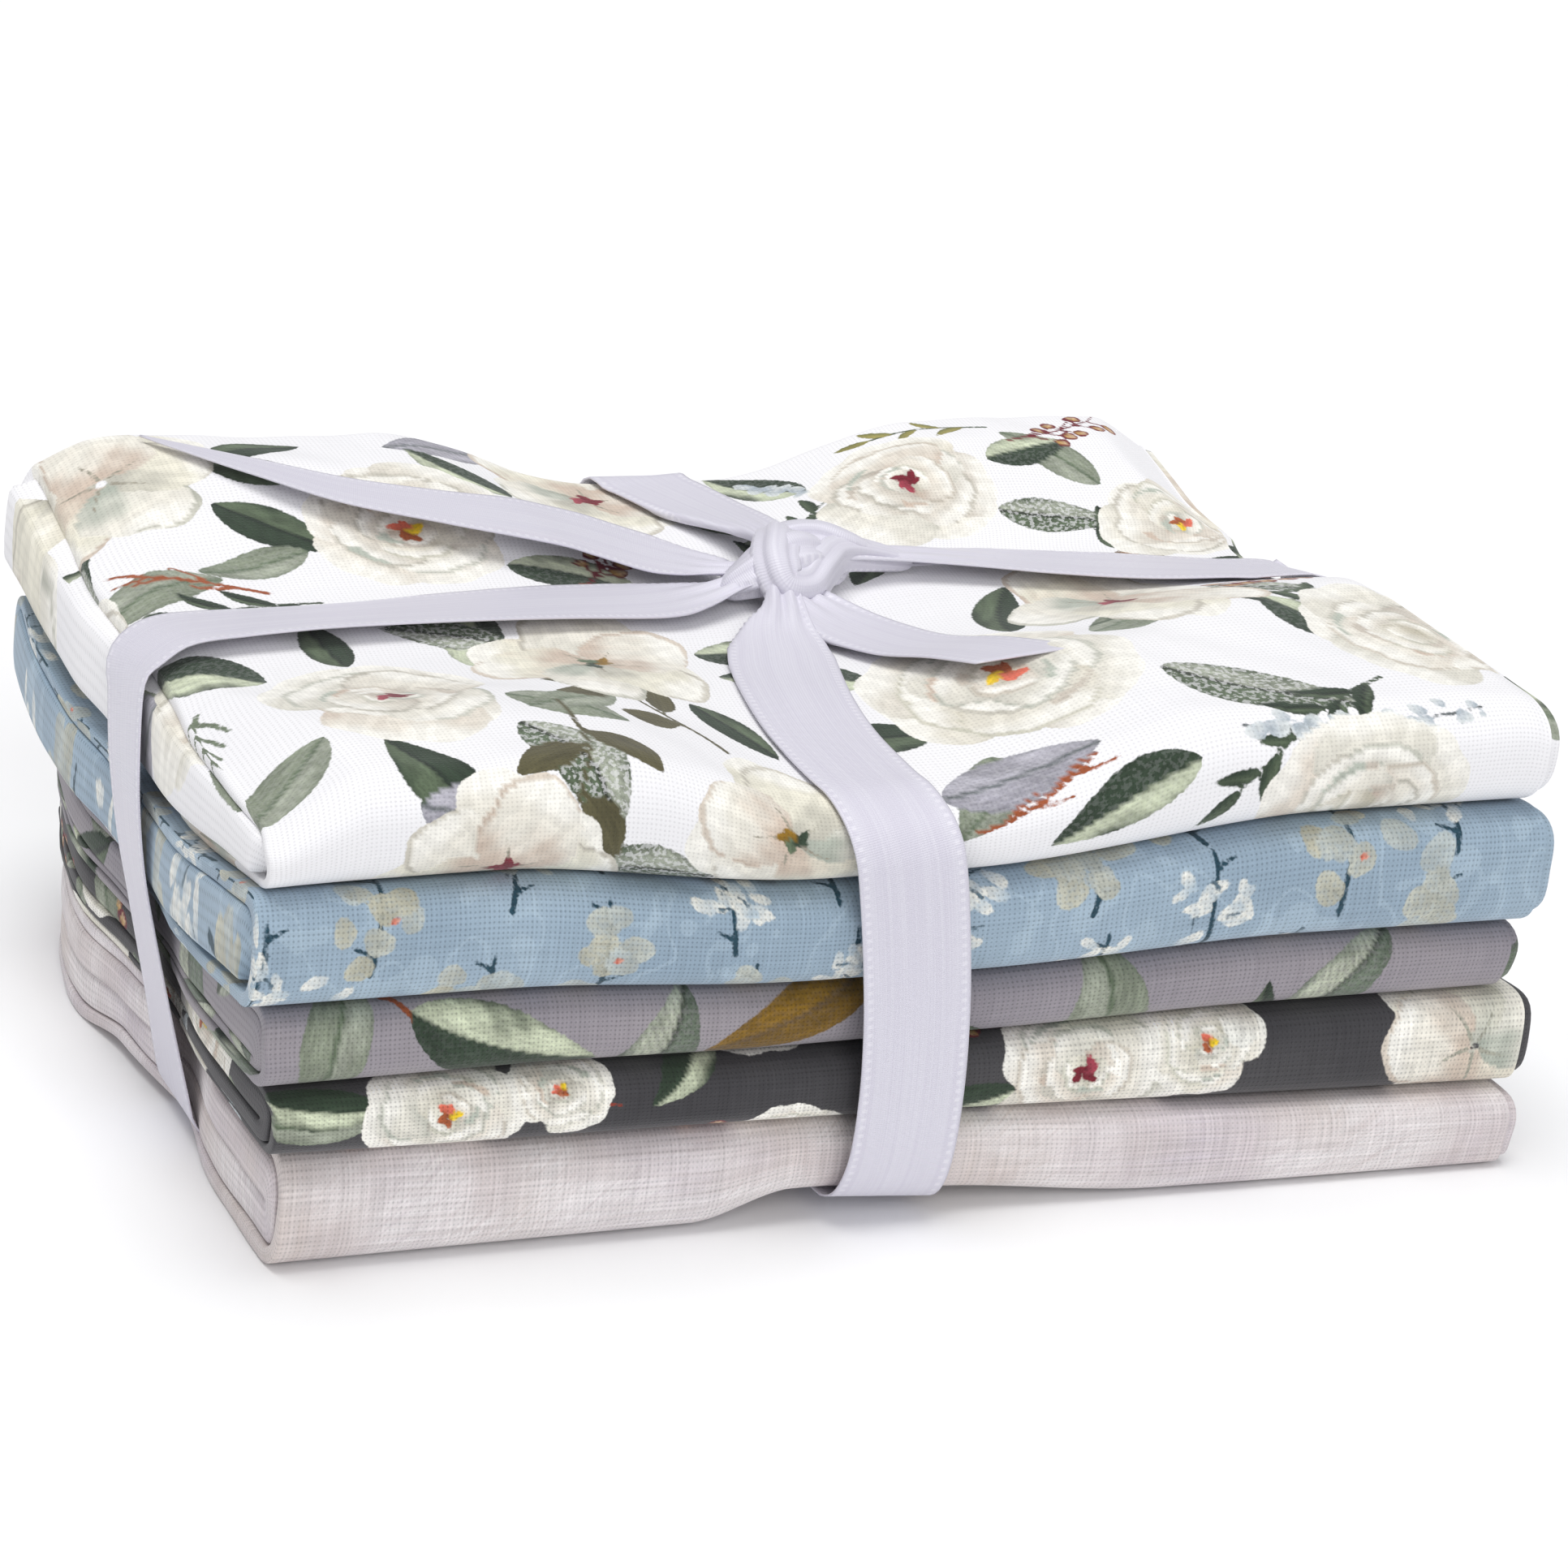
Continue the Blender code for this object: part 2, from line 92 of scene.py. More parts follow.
ARCH_CHANGE_OVER = 18.0
PRESSED_HALF = 9.0         # half the width that a ribbon presses flat
END_NIP = 0.8              # how far the ribbon along draws the left end in
RIGHT_NIP = 2.0            # the same at the right end
CORNER_NIP = 2.0           # how much more at the stack's upper and lower right corners

# The lines of the ribbon across, as (v, x), and of the ribbon along, as (u, y).
ACROSS_LINE = ((-58, -7), (-30, -5.5), (0, 5), (58, 6))
ALONG_LINE = ((-90, -1.5), (0, 14.5), (50, 17), (90, 14))
LINE_SOFTNESS = 21         # corners of a line are rounded over this length
LINE_END = 130             # lines are known this far out
UNPLAN_ROUNDS = 40         # plan() is undone in this many steps, each by this share of what is left
UNPLAN_SHARE = 0.7

# The top cloth: how deep the ribbon along presses it from left to right, and the height that its left and
# right ends roll down to, from front to back. ROLL is how fast it rises from there.
TOP_TROUGH = ((-90, 5.4), (-60, 6.2), (-25, 8.4), (0, 9.3), (90, 8.4))
LEFT_ROLL = ((-58.0, 60.2), (-25.0, 60.8), (-8.0, 61.3), (8.0, 61.3), (28.0, 63.0), (40.0, 65.0),
             (58.0, 68.4))
RIGHT_ROLL = ((-58.0, 67.6), (-20.0, 68.4), (0.0, 66.0), (20.0, 61.5), (36.0, 62.5), (58.0, 67.6))
ROLL = 0.6
ROLL_SOFTNESS = 1.0
# The trough along changes from TROUGH_FROM on, over TROUGH_OVER, in its flat half width and in its reach.
TROUGH_FROM, TROUGH_OVER = 15.0, 65.0
TROUGH_IN_FRONT = (-PRESSED_HALF, -21.0)
TROUGH_BEHIND = (6.0, 6.0)
UNEVEN = 0.35              # height of the top's slow unevenness

# Soft troughs (depth above 0) and ridges (below 0) in the top cloth: from, to, depth, width.
CREASES = (
    ((-66, 37), (-44, 29), 0.6, 5),
    ((-44, 29), (-24, 26), 0.4, 5),
    ((-74, 52), (-50, 42), -0.7, 6),
    ((-86, 30), (-70, 22), 0.7, 5),
    ((-80, -12), (-62, -22), 0.6, 6),
    ((24, 36), (44, 52), 0.5, 7),
    ((30, -6), (52, -26), 0.6, 8),
    ((64, -4), (84, -16), 0.7, 6),
    ((-30, -22), (-42, -46), 0.5, 7),
)

# One row for each folded cloth:
# lower, upper    its surfaces
# outer_corner    0 or 1 where it is the lowest or the highest cloth, and so has a corner that is drawn in
# left, right     where its left end lies, at LEFT_AT from front to back, and its right end, front and back
# front, back     its front fold and its back fold at the left, in the middle and at the right
# round           how round the front fold is there: 2 is an ellipse, and more is squarer
# insets          how far parts of the left end are set in: bottom wrap, front fold, top wrap at the front
#                 and at the back, upper and lower inner layer
# spread          how far the upper inner layer spreads down over the lower one at the left end, 0 to 1
# phase, pitch    of its unevenness, and of its vertices
LEFT_AT = (-58, -30, -14, 0, 28, 45, 58)
PADS = [
    dict(name="fabric_linen", slot="linen_look_cotton", lower=None, upper="linen_top", outer_corner=0,
         left=(-85, -85.2, -83.8, -86.8, -88.6, -85.5, -80.5), right=(93.4, 90),
         front=(-54.8, -56.8, -60.8), back=(57.4, 57.4, 57.4),
         round=(2.4, 3, 4.6), insets=(0.2, 0.5, 0.8, 0.4, 0.1, 0.5), spread=0, phase=0.3, pitch=0.55),
    dict(name="fabric_charcoal_floral", slot="charcoal_floral_cotton", lower="linen_top",
         upper="charcoal_top", outer_corner=None,
         left=(-87.5, -87, -86.4, -86.8, -88.3, -86, -82), right=(95, 90),
         front=(-57.5, -57.5, -58.5), back=(57.4, 57.4, 57.4),
         round=(2.6, 3, 3.4), insets=(0.5, 0.2, 0.2, 0.7, 0.2, 0.1), spread=0.3, phase=1.9, pitch=0.5),
    dict(name="fabric_grey_leaf", slot="grey_leaf_cotton", lower="charcoal_top", upper="grey_top",
         outer_corner=None,
         left=(-89, -88.6, -88.2, -88.4, -89.6, -87.2, -83), right=(91.2, 90),
         front=(-57, -56.5, -57), back=(57.6, 57.4, 57.8),
         round=(2.6, 2.8, 3.2), insets=(0.2, 0, 0.2, 0.6, 0.2, 0.6), spread=0.7, phase=3.1, pitch=0.5),
    dict(name="fabric_blue_blossom", slot="blue_blossom_cotton", lower="grey_top", upper="blue_top",
         outer_corner=None,
         left=(-92, -92, -91.4, -91.6, -92.4, -92, -90), right=(92, 91),
         front=(-58.5, -58.5, -59.5), back=(58, 57.6, 58),
         round=(2.7, 2.7, 2.7), insets=(0.6, 0.2, 0.3, 0.7, 0.1, 4), spread=1, phase=4.4, pitch=0.5),
    dict(name="fabric_white_floral", slot="white_floral_cotton", lower="blue_top", upper="white_top",
         outer_corner=1,
         left=(-91.5, -91.7, -91.8, -91.8, -92, -92, -92), right=(90.5, 91),
         front=(-58, -58, -58.5), back=(60.5, 59, 60.5),
         round=(2.2, 2.2, 2.2), insets=(1.8, 0.8, 1.2, 3.6, 0.1, 6), spread=1, phase=5.6, pitch=0.6),
]


# --- Shape functions, all on arrays ---
def smooth_step(t):
    t = np.clip(t, 0.0, 1.0)
    return t * t * (3.0 - 2.0 * t)


def mix(a, b, t):
    return a + (b - a) * t


def soft_line(rows):
    """A function through a table of (key, value) rows, with its corners rounded."""
    keys = np.arange(-LINE_END, LINE_END + 1.0)
    values = np.interp(keys, *np.array(rows).T)
    weights = np.hanning(LINE_SOFTNESS + 2)[1:-1]
    padded = np.pad(values, LINE_SOFTNESS // 2, mode="edge")
    values = np.convolve(padded, weights / weights.sum(), "valid")
    return lambda key: np.interp(key, keys, values)


across_line = soft_line(ACROSS_LINE)
along_line = soft_line(ALONG_LINE)
top_trough = soft_line(TOP_TROUGH)
left_roll = soft_line(LEFT_ROLL)
right_roll = soft_line(RIGHT_ROLL)


def plan(u, v):
    """The (x, y) of a place in the stack's own plan."""
    x = u + across_line(v) * np.maximum(0.0, 1.0 - np.abs(u) / HALF_LENGTH)
    y = v + along_line(u) * np.maximum(0.0, 1.0 - np.abs(v) / HALF_DEPTH)
    return x, y


def unplan(x, y):
    """The (u, v) of a point in plan."""
    u, v = np.array(x, float), np.array(y, float)
    for _ in range(UNPLAN_ROUNDS):
        px, py = plan(u, v)
        u, v = u + UNPLAN_SHARE * (x - px), v + UNPLAN_SHARE * (y - py)
    return u, v


def pressed(distance, reach, half=PRESSED_HALF):
    """1 under a ribbon, falling to 0 at the reach."""
    return 1.0 - smooth_step((np.abs(distance) - half) / (reach - half))


def lower_of(a, b, softness):
    """The lower of two heights, with a rounded corner between them."""
    return (a + b - np.sqrt((a - b) ** 2 + softness ** 2)) / 2


def three_way(row, u):
    """The value at u of a row given at the left, in the middle and at the right."""
    return np.interp(u, (-HALF_LENGTH, 0.0, HALF_LENGTH), row)


def wander(a, b, phase):
    """Slow unevenness, about -1 to 1."""
    return (np.sin(0.071 * a + 0.043 * b + phase) + np.sin(0.113 * b - 0.059 * a + 2.3 * phase)
            + 0.6 * np.sin(0.21 * a + 0.17 * b + 4.1 * phase)) / 2.6


def crease_relief(x, y):
    relief = np.zeros_like(x)
    for start, end, depth, width in CREASES:
        ax, ay = end[0] - start[0], end[1] - start[1]
        t = np.clip(((x - start[0]) * ax + (y - start[1]) * ay) / (ax * ax + ay * ay), 0.0, 1.0)
        apart = np.hypot(x - start[0] - t * ax, y - start[1] - t * ay)
        relief -= depth * np.exp(-(apart / width) ** 2)
    return relief


def surface_height(name, u, v):
    """Height of the surface between two pads. None is the underside of the stack."""
    if name is None:
        front = smooth_step((v - FRONT_ARCH_FROM) / (FRONT_ARCH_FULL - FRONT_ARCH_FROM))
        beside = pressed(u, mix(ARCH_REACH, RIGHT_ARCH_REACH, front * (u > 0.0)))
        change = smooth_step((u - ARCH_CHANGE_FROM) / ARCH_CHANGE_OVER)
        front_arch = mix(FRONT_ARCH, RIGHT_ARCH, change)
        return RIBBON_ARCH * np.maximum(beside, pressed(v, ARCH_REACH)) + front_arch * front * beside
    left_front, right_front, left_back, right_back, across, along, reach = SURFACES[name]
    t = u / (2 * HALF_LENGTH) + 0.5
    level = mix(mix(left_front, right_front, t), mix(left_back, right_back, t), v / (2 * HALF_DEPTH) + 0.5)
    hollow_across, hollow_along = across * pressed(u, reach), along * pressed(v, reach)
    if name == "white_top":
        at_right, in_front = smooth_step((u - TROUGH_FROM) / TROUGH_OVER), v < 0.0
        half = PRESSED_HALF + at_right * np.where(in_front, TROUGH_IN_FRONT[0], TROUGH_BEHIND[0])
        wide = reach + at_right * np.where(in_front, TROUGH_IN_FRONT[1], TROUGH_BEHIND[1])
        hollow_along = top_trough(u) * pressed(v, wide, half)
    if across * along > 0:
        hollow = (hollow_across ** 4 + hollow_along ** 4) ** 0.25
    else:
        hollow = hollow_across + hollow_along
    height = level - hollow
    if name == "white_top":
        clear = 1.0 - np.maximum(pressed(u, ARCH_REACH), pressed(v, ARCH_REACH))
        x, y = plan(u, v)
        height = height + clear * (crease_relief(x, y) + UNEVEN * wander(2.2 * x, 2.2 * y, 1.0))
        rise = left_roll(v) + ROLL * np.maximum(0.0, u + HALF_LENGTH - 1.0)
        height = lower_of(height, rise, ROLL_SOFTNESS)
        rise = right_roll(v) + ROLL * np.maximum(0.0, HALF_LENGTH - 2.0 - u)
        height = lower_of(height, rise, ROLL_SOFTNESS)
    return height


# --- The folded cloths ---
# The section's parts in order, from the cut edge under the stack to the one inside, and the plies and turns
# along the length, from the outer ply to the one that lies between the other two.
PARTS = ("bottom", "front", "top", "back", "upper", "nose", "lower")
PLIES = ("C", "left", "A", "right", "B")
BLOCK = 8                  # cells along one side of a block of the grid
MID = 0.5
TURN_LENGTH = 5.0          # mean length of cloth in the turns at the left and right ends
TURN_DIFFERENCE = 1.0      # the left one is this much longer and the right one shorter
INNER_DEPTH = 0.15         # depth of ply B, where ply C is at 1 and ply A at -1
INNER_REACH = 0.96         # ply B ends this far along the stack
END_WANDER = 0.7           # how far the ends can wander in and out
LEFT_WANDER, RIGHT_WANDER = 0.4, 0.6   # how much of that each end does
RIGHT_INSET = 0.8
LEFT_SWELL = 0.4           # how far the turns at the left end bulge out
LAYER_SWELL = 1.1          # how much more they do for a layer that fills the pad's height
RIGHT_SWELL = 0.7          # the same as LEFT_SWELL for the right end
CUT_PLY_INSET = 1.4        # ply C's cut edge lies this far inside the right end
CUT_PLY_RATE = 12.0        # and closes up with it over one part in this many
FINE_FROM = 0.94           # ply C has all its vertices from here to the left end


def half_round(t, power):
    """Out and up of a rounded half turn, from (0, 1) over (1, 0) to (0, -1), for t from 0 to 1."""
    angle = math.pi * t
    out, up = np.sin(angle), np.cos(angle)
    length = (np.abs(out) ** power + np.abs(up) ** power) ** (1.0 / power)
    return out / length, up / length


def section(pad, part, f, u):
    """(v, share) of the outer ply and of the inner ply, a fraction f along a part of the section."""
    front, back = three_way(pad["front"], u), three_way(pad["back"], u)
    low, high = WRAP_SHARE + LAYER_GAP, 1.0 - WRAP_SHARE - LAYER_GAP
    spread = pad["spread"] * smooth_step((-u - SPREAD_FROM) / SPREAD_OVER)
    under = mix(MID, low + SPREAD_TO, spread) - LAYER_GAP / 2
    over = under + LAYER_GAP
    front_turn, back_turn = front + OUTER_FOLD, back - BACK_FOLD
    nose_turn = front + NOSE_INSET + NOSE_FOLD
    if part == "bottom":
        v = mix(back - CUT_EDGE_INSET, front_turn, f)
        return (v, 0.0 * f), (v, WRAP_SHARE + 0.0 * f)
    if part == "front":
        out, up = half_round(f, three_way(pad["round"], u))
        return ((front_turn - OUTER_FOLD * out, MID - MID * up),
                (front_turn - (OUTER_FOLD - WRAP_WALL) * out, MID - (MID - WRAP_SHARE) * up))
    if part == "top":
        v = mix(front_turn, back_turn, f)
        return (v, 1.0 + 0.0 * f), (v, 1.0 - WRAP_SHARE + 0.0 * f)
    if part == "back":
        out, up = half_round(f, 2.0)
        middle, half = (1.0 + over) / 2, (1.0 - over) / 2
        return ((back_turn + BACK_FOLD * out, middle + half * up),
                (back_turn + BACK_TURN * out, high + LAYER_GAP / 2 + LAYER_GAP / 2 * up))
    if part == "upper":
        v = mix(back_turn, nose_turn, f)
        return (v, over + 0.0 * f), (v, high + 0.0 * f)
    if part == "nose":
        out, up = half_round(f, NOSE_POWER)
        return ((nose_turn - NOSE_TURN * out, under + LAYER_GAP / 2 * (1.0 + up)),
                (nose_turn - NOSE_FOLD * out, MID + (high - MID) * up))
    v = mix(nose_turn, back - 2 * CUT_EDGE_INSET, f)
    close = smooth_step((f - CLOSE_FROM) / (1.0 - CLOSE_FROM))
    return (v, under - CLOSE_OUTER * close), (v, low + CLOSE_INNER * close)


def left_inset(pad, part, f):
    """How far the left end is set in at a fraction f along a part of the section."""
    bottom, front, top_front, top_back, upper, lower = pad["insets"]
    ends = {"bottom": (lower, bottom), "front": (bottom, top_front), "top": (top_front, top_back),
            "back": (top_back, upper), "upper": (upper, upper), "nose": (upper, lower),
            "lower": (lower, lower)}[part]
    bump = (front - (bottom + top_front) / 2) * np.sin(math.pi * f) if part == "front" else 0.0
    return mix(ends[0], ends[1], smooth_step(f)) + bump


def pad_stations(pad):
    """Stations along the section (part, fraction, flat place) and across it (ply, fraction, flat place)."""
    pitch = pad["pitch"]
    probe = np.linspace(0.0, 1.0, 60)
    height = float(np.mean([pad_height(pad, np.array([u]), np.array([-30.0]))[0] for u in (-60.0, 60.0)]))
    along, place = [], 0.0
    for part in PARTS:
        outer, inner = section(pad, part, probe, np.full_like(probe, -45.0))
        v, share = inner if part == "nose" else outer
        length = float(np.sum(np.hypot(np.diff(v), height * np.diff(share))))
        count = BLOCK * max(1, round(length / pitch / BLOCK))
        along += [(part, k / count, place + length * k / count) for k in range(count)]
        place += length
    along.append((PARTS[-1], 1.0, place))
    across, run = [], 0.0
    whole = 2 * HALF_LENGTH - TURN_LENGTH
    lengths = (whole, TURN_LENGTH + TURN_DIFFERENCE, whole, TURN_LENGTH - TURN_DIFFERENCE,
               CLOTH_LENGTH - 4 * HALF_LENGTH)
    for ply, length in zip(PLIES, lengths):
        count = BLOCK * max(1, round(length / pitch / BLOCK))
        across += [(ply, k / count, run + length * k / count) for k in range(count)]
        run += length
    across.append(("B", 1.0, run))
    return along, across


def pad_height(pad, u, v):
    return surface_height(pad["upper"], u, v) - surface_height(pad["lower"], u, v) - NEIGHBOUR_GAP


def pad_points(pad, part, f, ply, g):
    """Positions in millimetres, for arrays f and g of places on one part of the section and one ply."""
    left_line = soft_line(tuple(zip(LEFT_AT, pad["left"])))
    right_end = pad["right"]
    end_out, end_up = half_round(g, END_POWER)
    if ply == "C":
        depth, reach = 1.0, g
    elif ply == "left":
        depth, reach = end_up, 1.0
    elif ply == "A":
        depth, reach = -1.0, 1.0 - g
    elif ply == "right":
        depth, reach = mix(-1.0, INNER_DEPTH, 0.5 - 0.5 * np.cos(math.pi * g)), 0.0
    else:
        depth, reach = INNER_DEPTH, INNER_REACH * g
    u = mix(right_end[0], pad["left"][0], reach) + 0.0 * f
    for _ in range(2):     # the ends lie where the section is, and the section depends a little on u
        outer, inner = section(pad, part, f, u)
        t = (1.0 + depth) / 2
        v, share = mix(inner[0], outer[0], t), mix(inner[1], outer[1], t)
        middle_share = (outer[1] + inner[1]) / 2
        place = v / (2 * HALF_DEPTH) + 0.5
        corner = 0.0
        if pad["outer_corner"] is not None:
            corner = CORNER_NIP * smooth_step(1.0 - 2.0 * np.abs(share - pad["outer_corner"]))
        nipped = pressed(v, ARCH_REACH)
        uneven = END_WANDER * wander(1.7 * v, 60.0 * middle_share, pad["phase"])
        left = left_line(v) + END_NIP * nipped + left_inset(pad, part, f) + LEFT_WANDER * uneven
        right = mix(right_end[0], right_end[1], place) - (RIGHT_NIP + corner) * nipped
        right = right - RIGHT_INSET - RIGHT_WANDER * uneven
        swell = LEFT_SWELL + LAYER_SWELL * np.abs(outer[1] - inner[1])
        u = mix(right, left + swell, reach)
        if ply == "C":
            u = u - CUT_PLY_INSET * (1.0 - smooth_step(g * CUT_PLY_RATE))
        if ply == "left":
            u = left + swell * (1.0 - end_out)
        if ply == "right":
            u = right + RIGHT_SWELL * np.sin(math.pi * g)
    lower = surface_height(pad["lower"], u, v) + NEIGHBOUR_GAP / 2
    x, y = plan(u, v)
    z = lower + share * pad_height(pad, u, v)
    return np.stack([x, y, z], axis=-1)


def block_divisions(pad, along, across, i, j):
    """How many cells across and along one block of the grid gets."""
    ply, part = across[i * BLOCK][0], along[j * BLOCK][0]
    fine_along = part == "front" or (pad["name"] == "fabric_white_floral" and part in ("top", "back"))
    if ply == "C" and fine_along:
        return BLOCK, BLOCK
    at_left = ply == "left" or (ply == "C" and across[i * BLOCK][1] > FINE_FROM)
    if at_left and (part != "bottom" or pad["lower"] is None):
        return BLOCK, BLOCK
    turn_across = BLOCK if ply in ("left", "right") else 1
    turn_along = BLOCK // 2 if part in ("front", "back", "nose") else 1
    if ply == "C" and part in ("top", "bottom"):
        turn_across, turn_along = max(turn_across, 2), max(turn_along, 2)
    return turn_across, turn_along


def pad_grid(pad, along, across):
    """Faces of the graded grid, as lists of (i, j), and the used vertices."""
    count_i, count_j = len(across), len(along)
    used = np.zeros((count_i, count_j), bool)
    cells = []
    for i in range((count_i - 1) // BLOCK):
        for j in range((count_j - 1) // BLOCK):
            di, dj = block_divisions(pad, along, across, i, j)
            wide, deep = BLOCK // di, BLOCK // dj
            used[i * BLOCK:(i + 1) * BLOCK + 1:wide, j * BLOCK:(j + 1) * BLOCK + 1:deep] = True
            cells += [(i * BLOCK + a * wide, j * BLOCK + b * deep, wide, deep)
                      for a in range(di) for b in range(dj)]
    number = np.full(used.shape, -1)
    number[used] = np.arange(used.sum())
    faces = []
    for i, j, wide, deep in cells:
        rim = [(i + k, j) for k in range(wide)] + [(i + wide, j + k) for k in range(deep)]
        rim += [(i + wide - k, j + deep) for k in range(wide)] + [(i, j + deep - k) for k in range(deep)]
        faces.append([number[p] for p in rim if used[p]])
    return faces, np.argwhere(used)


def make_mesh(name, points, faces, flat_map):
    """A smooth mesh from points in millimetres, with its flat map given for each corner of its faces."""
    mesh = bpy.data.meshes.new(name)
    mesh.from_pydata((points * MM).tolist(), [], faces)
    uv = mesh.uv_layers.new(name="flat")
    uv.data.foreach_set("uv", flat_map.astype(np.float32).ravel())
    mesh.polygons.foreach_set("use_smooth", np.ones(len(mesh.polygons), bool))
    thing = bpy.data.objects.new(name, mesh)
    bpy.context.scene.collection.objects.link(thing)
    return thing


def make_pad(pad):
    """The cloth, and for each vertex its place on the print."""
    along, across = pad_stations(pad)
    faces, used = pad_grid(pad, along, across)
    parts = np.array([PARTS.index(row[0]) for row in along])[used[:, 1]]
    plies = np.array([PLIES.index(row[0]) for row in across])[used[:, 0]]
    f = np.array([row[1] for row in along])[used[:, 1]]
    g = np.array([row[1] for row in across])[used[:, 0]]
    flat = np.stack([np.array([row[2] for row in across])[used[:, 0]],
                     np.array([row[2] for row in along])[used[:, 1]]], axis=-1)
    points = np.zeros((len(used), 3))
    for p, part in enumerate(PARTS):
        for q, ply in enumerate(PLIES):
            chosen = (parts == p) & (plies == q)
            if chosen.any():
                points[chosen] = pad_points(pad, part, f[chosen], ply, g[chosen])
    corner = np.concatenate(faces)
    thing = make_mesh(pad["name"] + "_cloth", points, faces, flat[corner] / CLOTH_LENGTH)
    top_start = next(row[2] for row in along if row[0] == "top")
    prints = np.stack([HALF_LENGTH - flat[:, 0], flat[:, 1] - top_start - HALF_DEPTH + OUTER_FOLD], axis=-1)
    return thing, prints


# --- The ribbon ---
RIBBON_WIDTH = 15.0
RIBBON_THICK = 0.25
RIBBON_STEP = 1.2
RIBBON_COLUMNS = 33
FOLD_HALF = 0.09           # half the width of a lengthwise fold, as a share of half the ribbon's width
FOLD_TURN = 0.95           # how far it turns back, as a share of a half turn
UV_ROW = 200.0             # a row of the ribbon's flat map holds this much of its length
UV_ROWS = 12

# Stretches of ribbon: x, y, what its height is measured from, that height, half the width, the share of
# the width that is turned under, and how many degrees it is tipped about its length. The last ones are left
# out where they are as in FLAT. "top" is the top cloth, "under" the underside of the stack and "at" the
# surface that the stack rests on.
FLAT = (RIBBON_WIDTH / 2, 0.0, 0.0)
BASES = {"top": "white_top", "under": None}
ACROSS_LOOP = (
    (6.4, 12, "top", 4.4, 3.4, 0.4),
    (4.2, 6, "top", 2.8, 4.6, 0.3),
    (1.2, 0, "top", 1.4, 6.6, 0.15),
    (-2.8, -9, "top", 0.5),
    (-6.8, -22, "top", 0.45),
    (-9, -35, "top", 0.45),
    (-9.5, -47, "top", 0.5),
    (-9.1, -52.6, "top", 0.3),
    (-8.5, -57, "at", 57.6),
    (-7.8, -59.4, "at", 54.8),
    (-7, -60.3, "at", 51),
    (-5.4, -60.6, "at", 42),
    (-4, -60.7, "at", 32),
    (-3.2, -60.7, "at", 22),
    (-3, -60.2, "at", 12.5, 7.5, 0, 1),
    (-3.2, -58.6, "at", 6.5, 7.5, 0, 4),
    (-3.4, -55.4, "at", 3.5, 7.5, 0, 5),
    (-3.4, -50, "under", -0.6, 7.5, 0, 5),
    (-2.6, -28, "under", -0.6, 7.5, 0, 1),
    (0, 0, "under", -0.6),
    (3, 30, "under", -0.6),
    (4.6, 52, "under", -0.6),
    (4.9, 56.6, "at", 1.8),
    (5, 58.5, "at", 5),
    (4.6, 59.4, "at", 22),
    (3.4, 60.6, "at", 44),
    (2.6, 60.9, "at", 56),
    (2.4, 60, "at", 61),
    (2.4, 57, "at", 64),
    (3.4, 53, "top", 0.5),
    (6.6, 44, "top", 1, 7.3, 0.06),
    (9.2, 35, "top", 2.4, 6.6, 0.2),
    (10.4, 28, "top", 4.6, 5, 0.33),
    (9.8, 21, "top", 6, 3.4, 0.4),
)
ALONG_LOOP = (
    (7, 15.6, "top", 4, 3.2, 0.4),
    (1, 14.7, "top", 3.4, 4, 0.35),
    (-6, 13.4, "top", 2.2, 6, 0.2),
    (-14, 12.2, "top", 1.3, 7.3, 0.05, 1),
    (-30, 9.6, "top", 0.9, 7.5, 0, 4),
    (-45, 7, "top", 0.9, 7.5, 0, 7),
    (-63, 4, "top", 0.9, 7.5, 0, 9),
    (-77, 1.8, "top", 1, 7.5, 0, 8),
    (-84.6, 0.3, "at", 64.6, 7.4, 0, 6),
    (-88.2, -0.2, "at", 63.3, 7.3, 0, 2),
    (-90.8, -0.8, "at", 60.8, 7.2),
    (-91.7, -2.2, "at", 56.8, 7.2, 0, 1),
    (-92.1, -5.2, "at", 47.5, 7.3, 0, 2),
    (-91.3, -7, "at", 38, 7.4, 0, 3),
    (-89.7, -8.6, "at", 29, 7.4, 0, 3),
    (-87.4, -11, "at", 17, 7.4, 0, 2),
    (-85.6, -12.4, "at", 8),
    (-84.3, -12.6, "at", 3.8),
    (-81, -12, "at", 1.2),
    (-74, -9.8, "under", -0.9),
    (-50, -2, "under", -0.9),
    (0, 10, "under", -0.9),
    (50, 16, "under", -0.9),
    (82, 17.4, "under", -0.9),
    (88.6, 17.6, "at", 2.2),
    (91.2, 17.4, "at", 8),
    (91.6, 16.4, "at", 22),
    (91.9, 13.6, "at", 38),
    (91.9, 10.6, "at", 52),
    (91, 8.8, "at", 60, 7.5, 0, 4),
    (88, 8.4, "top", 0.9, 7.5, 0, 12),
    (78, 12, "top", 1, 7.5, 0, 10),
    (65, 14.8, "top", 1.2, 7.5, 0, 6),
    (52, 17.4, "top", 1.5, 7.4, 0.08, 5),
    (37, 19.6, "top", 2.2, 6.6, 0.28, 3),
    (26, 20.2, "top", 3.2, 5.2, 0.4),
    (16, 18.8, "top", 5.2, 3.8, 0.42),
    (8, 16.4, "top", 5.6, 3.2, 0.42),
)
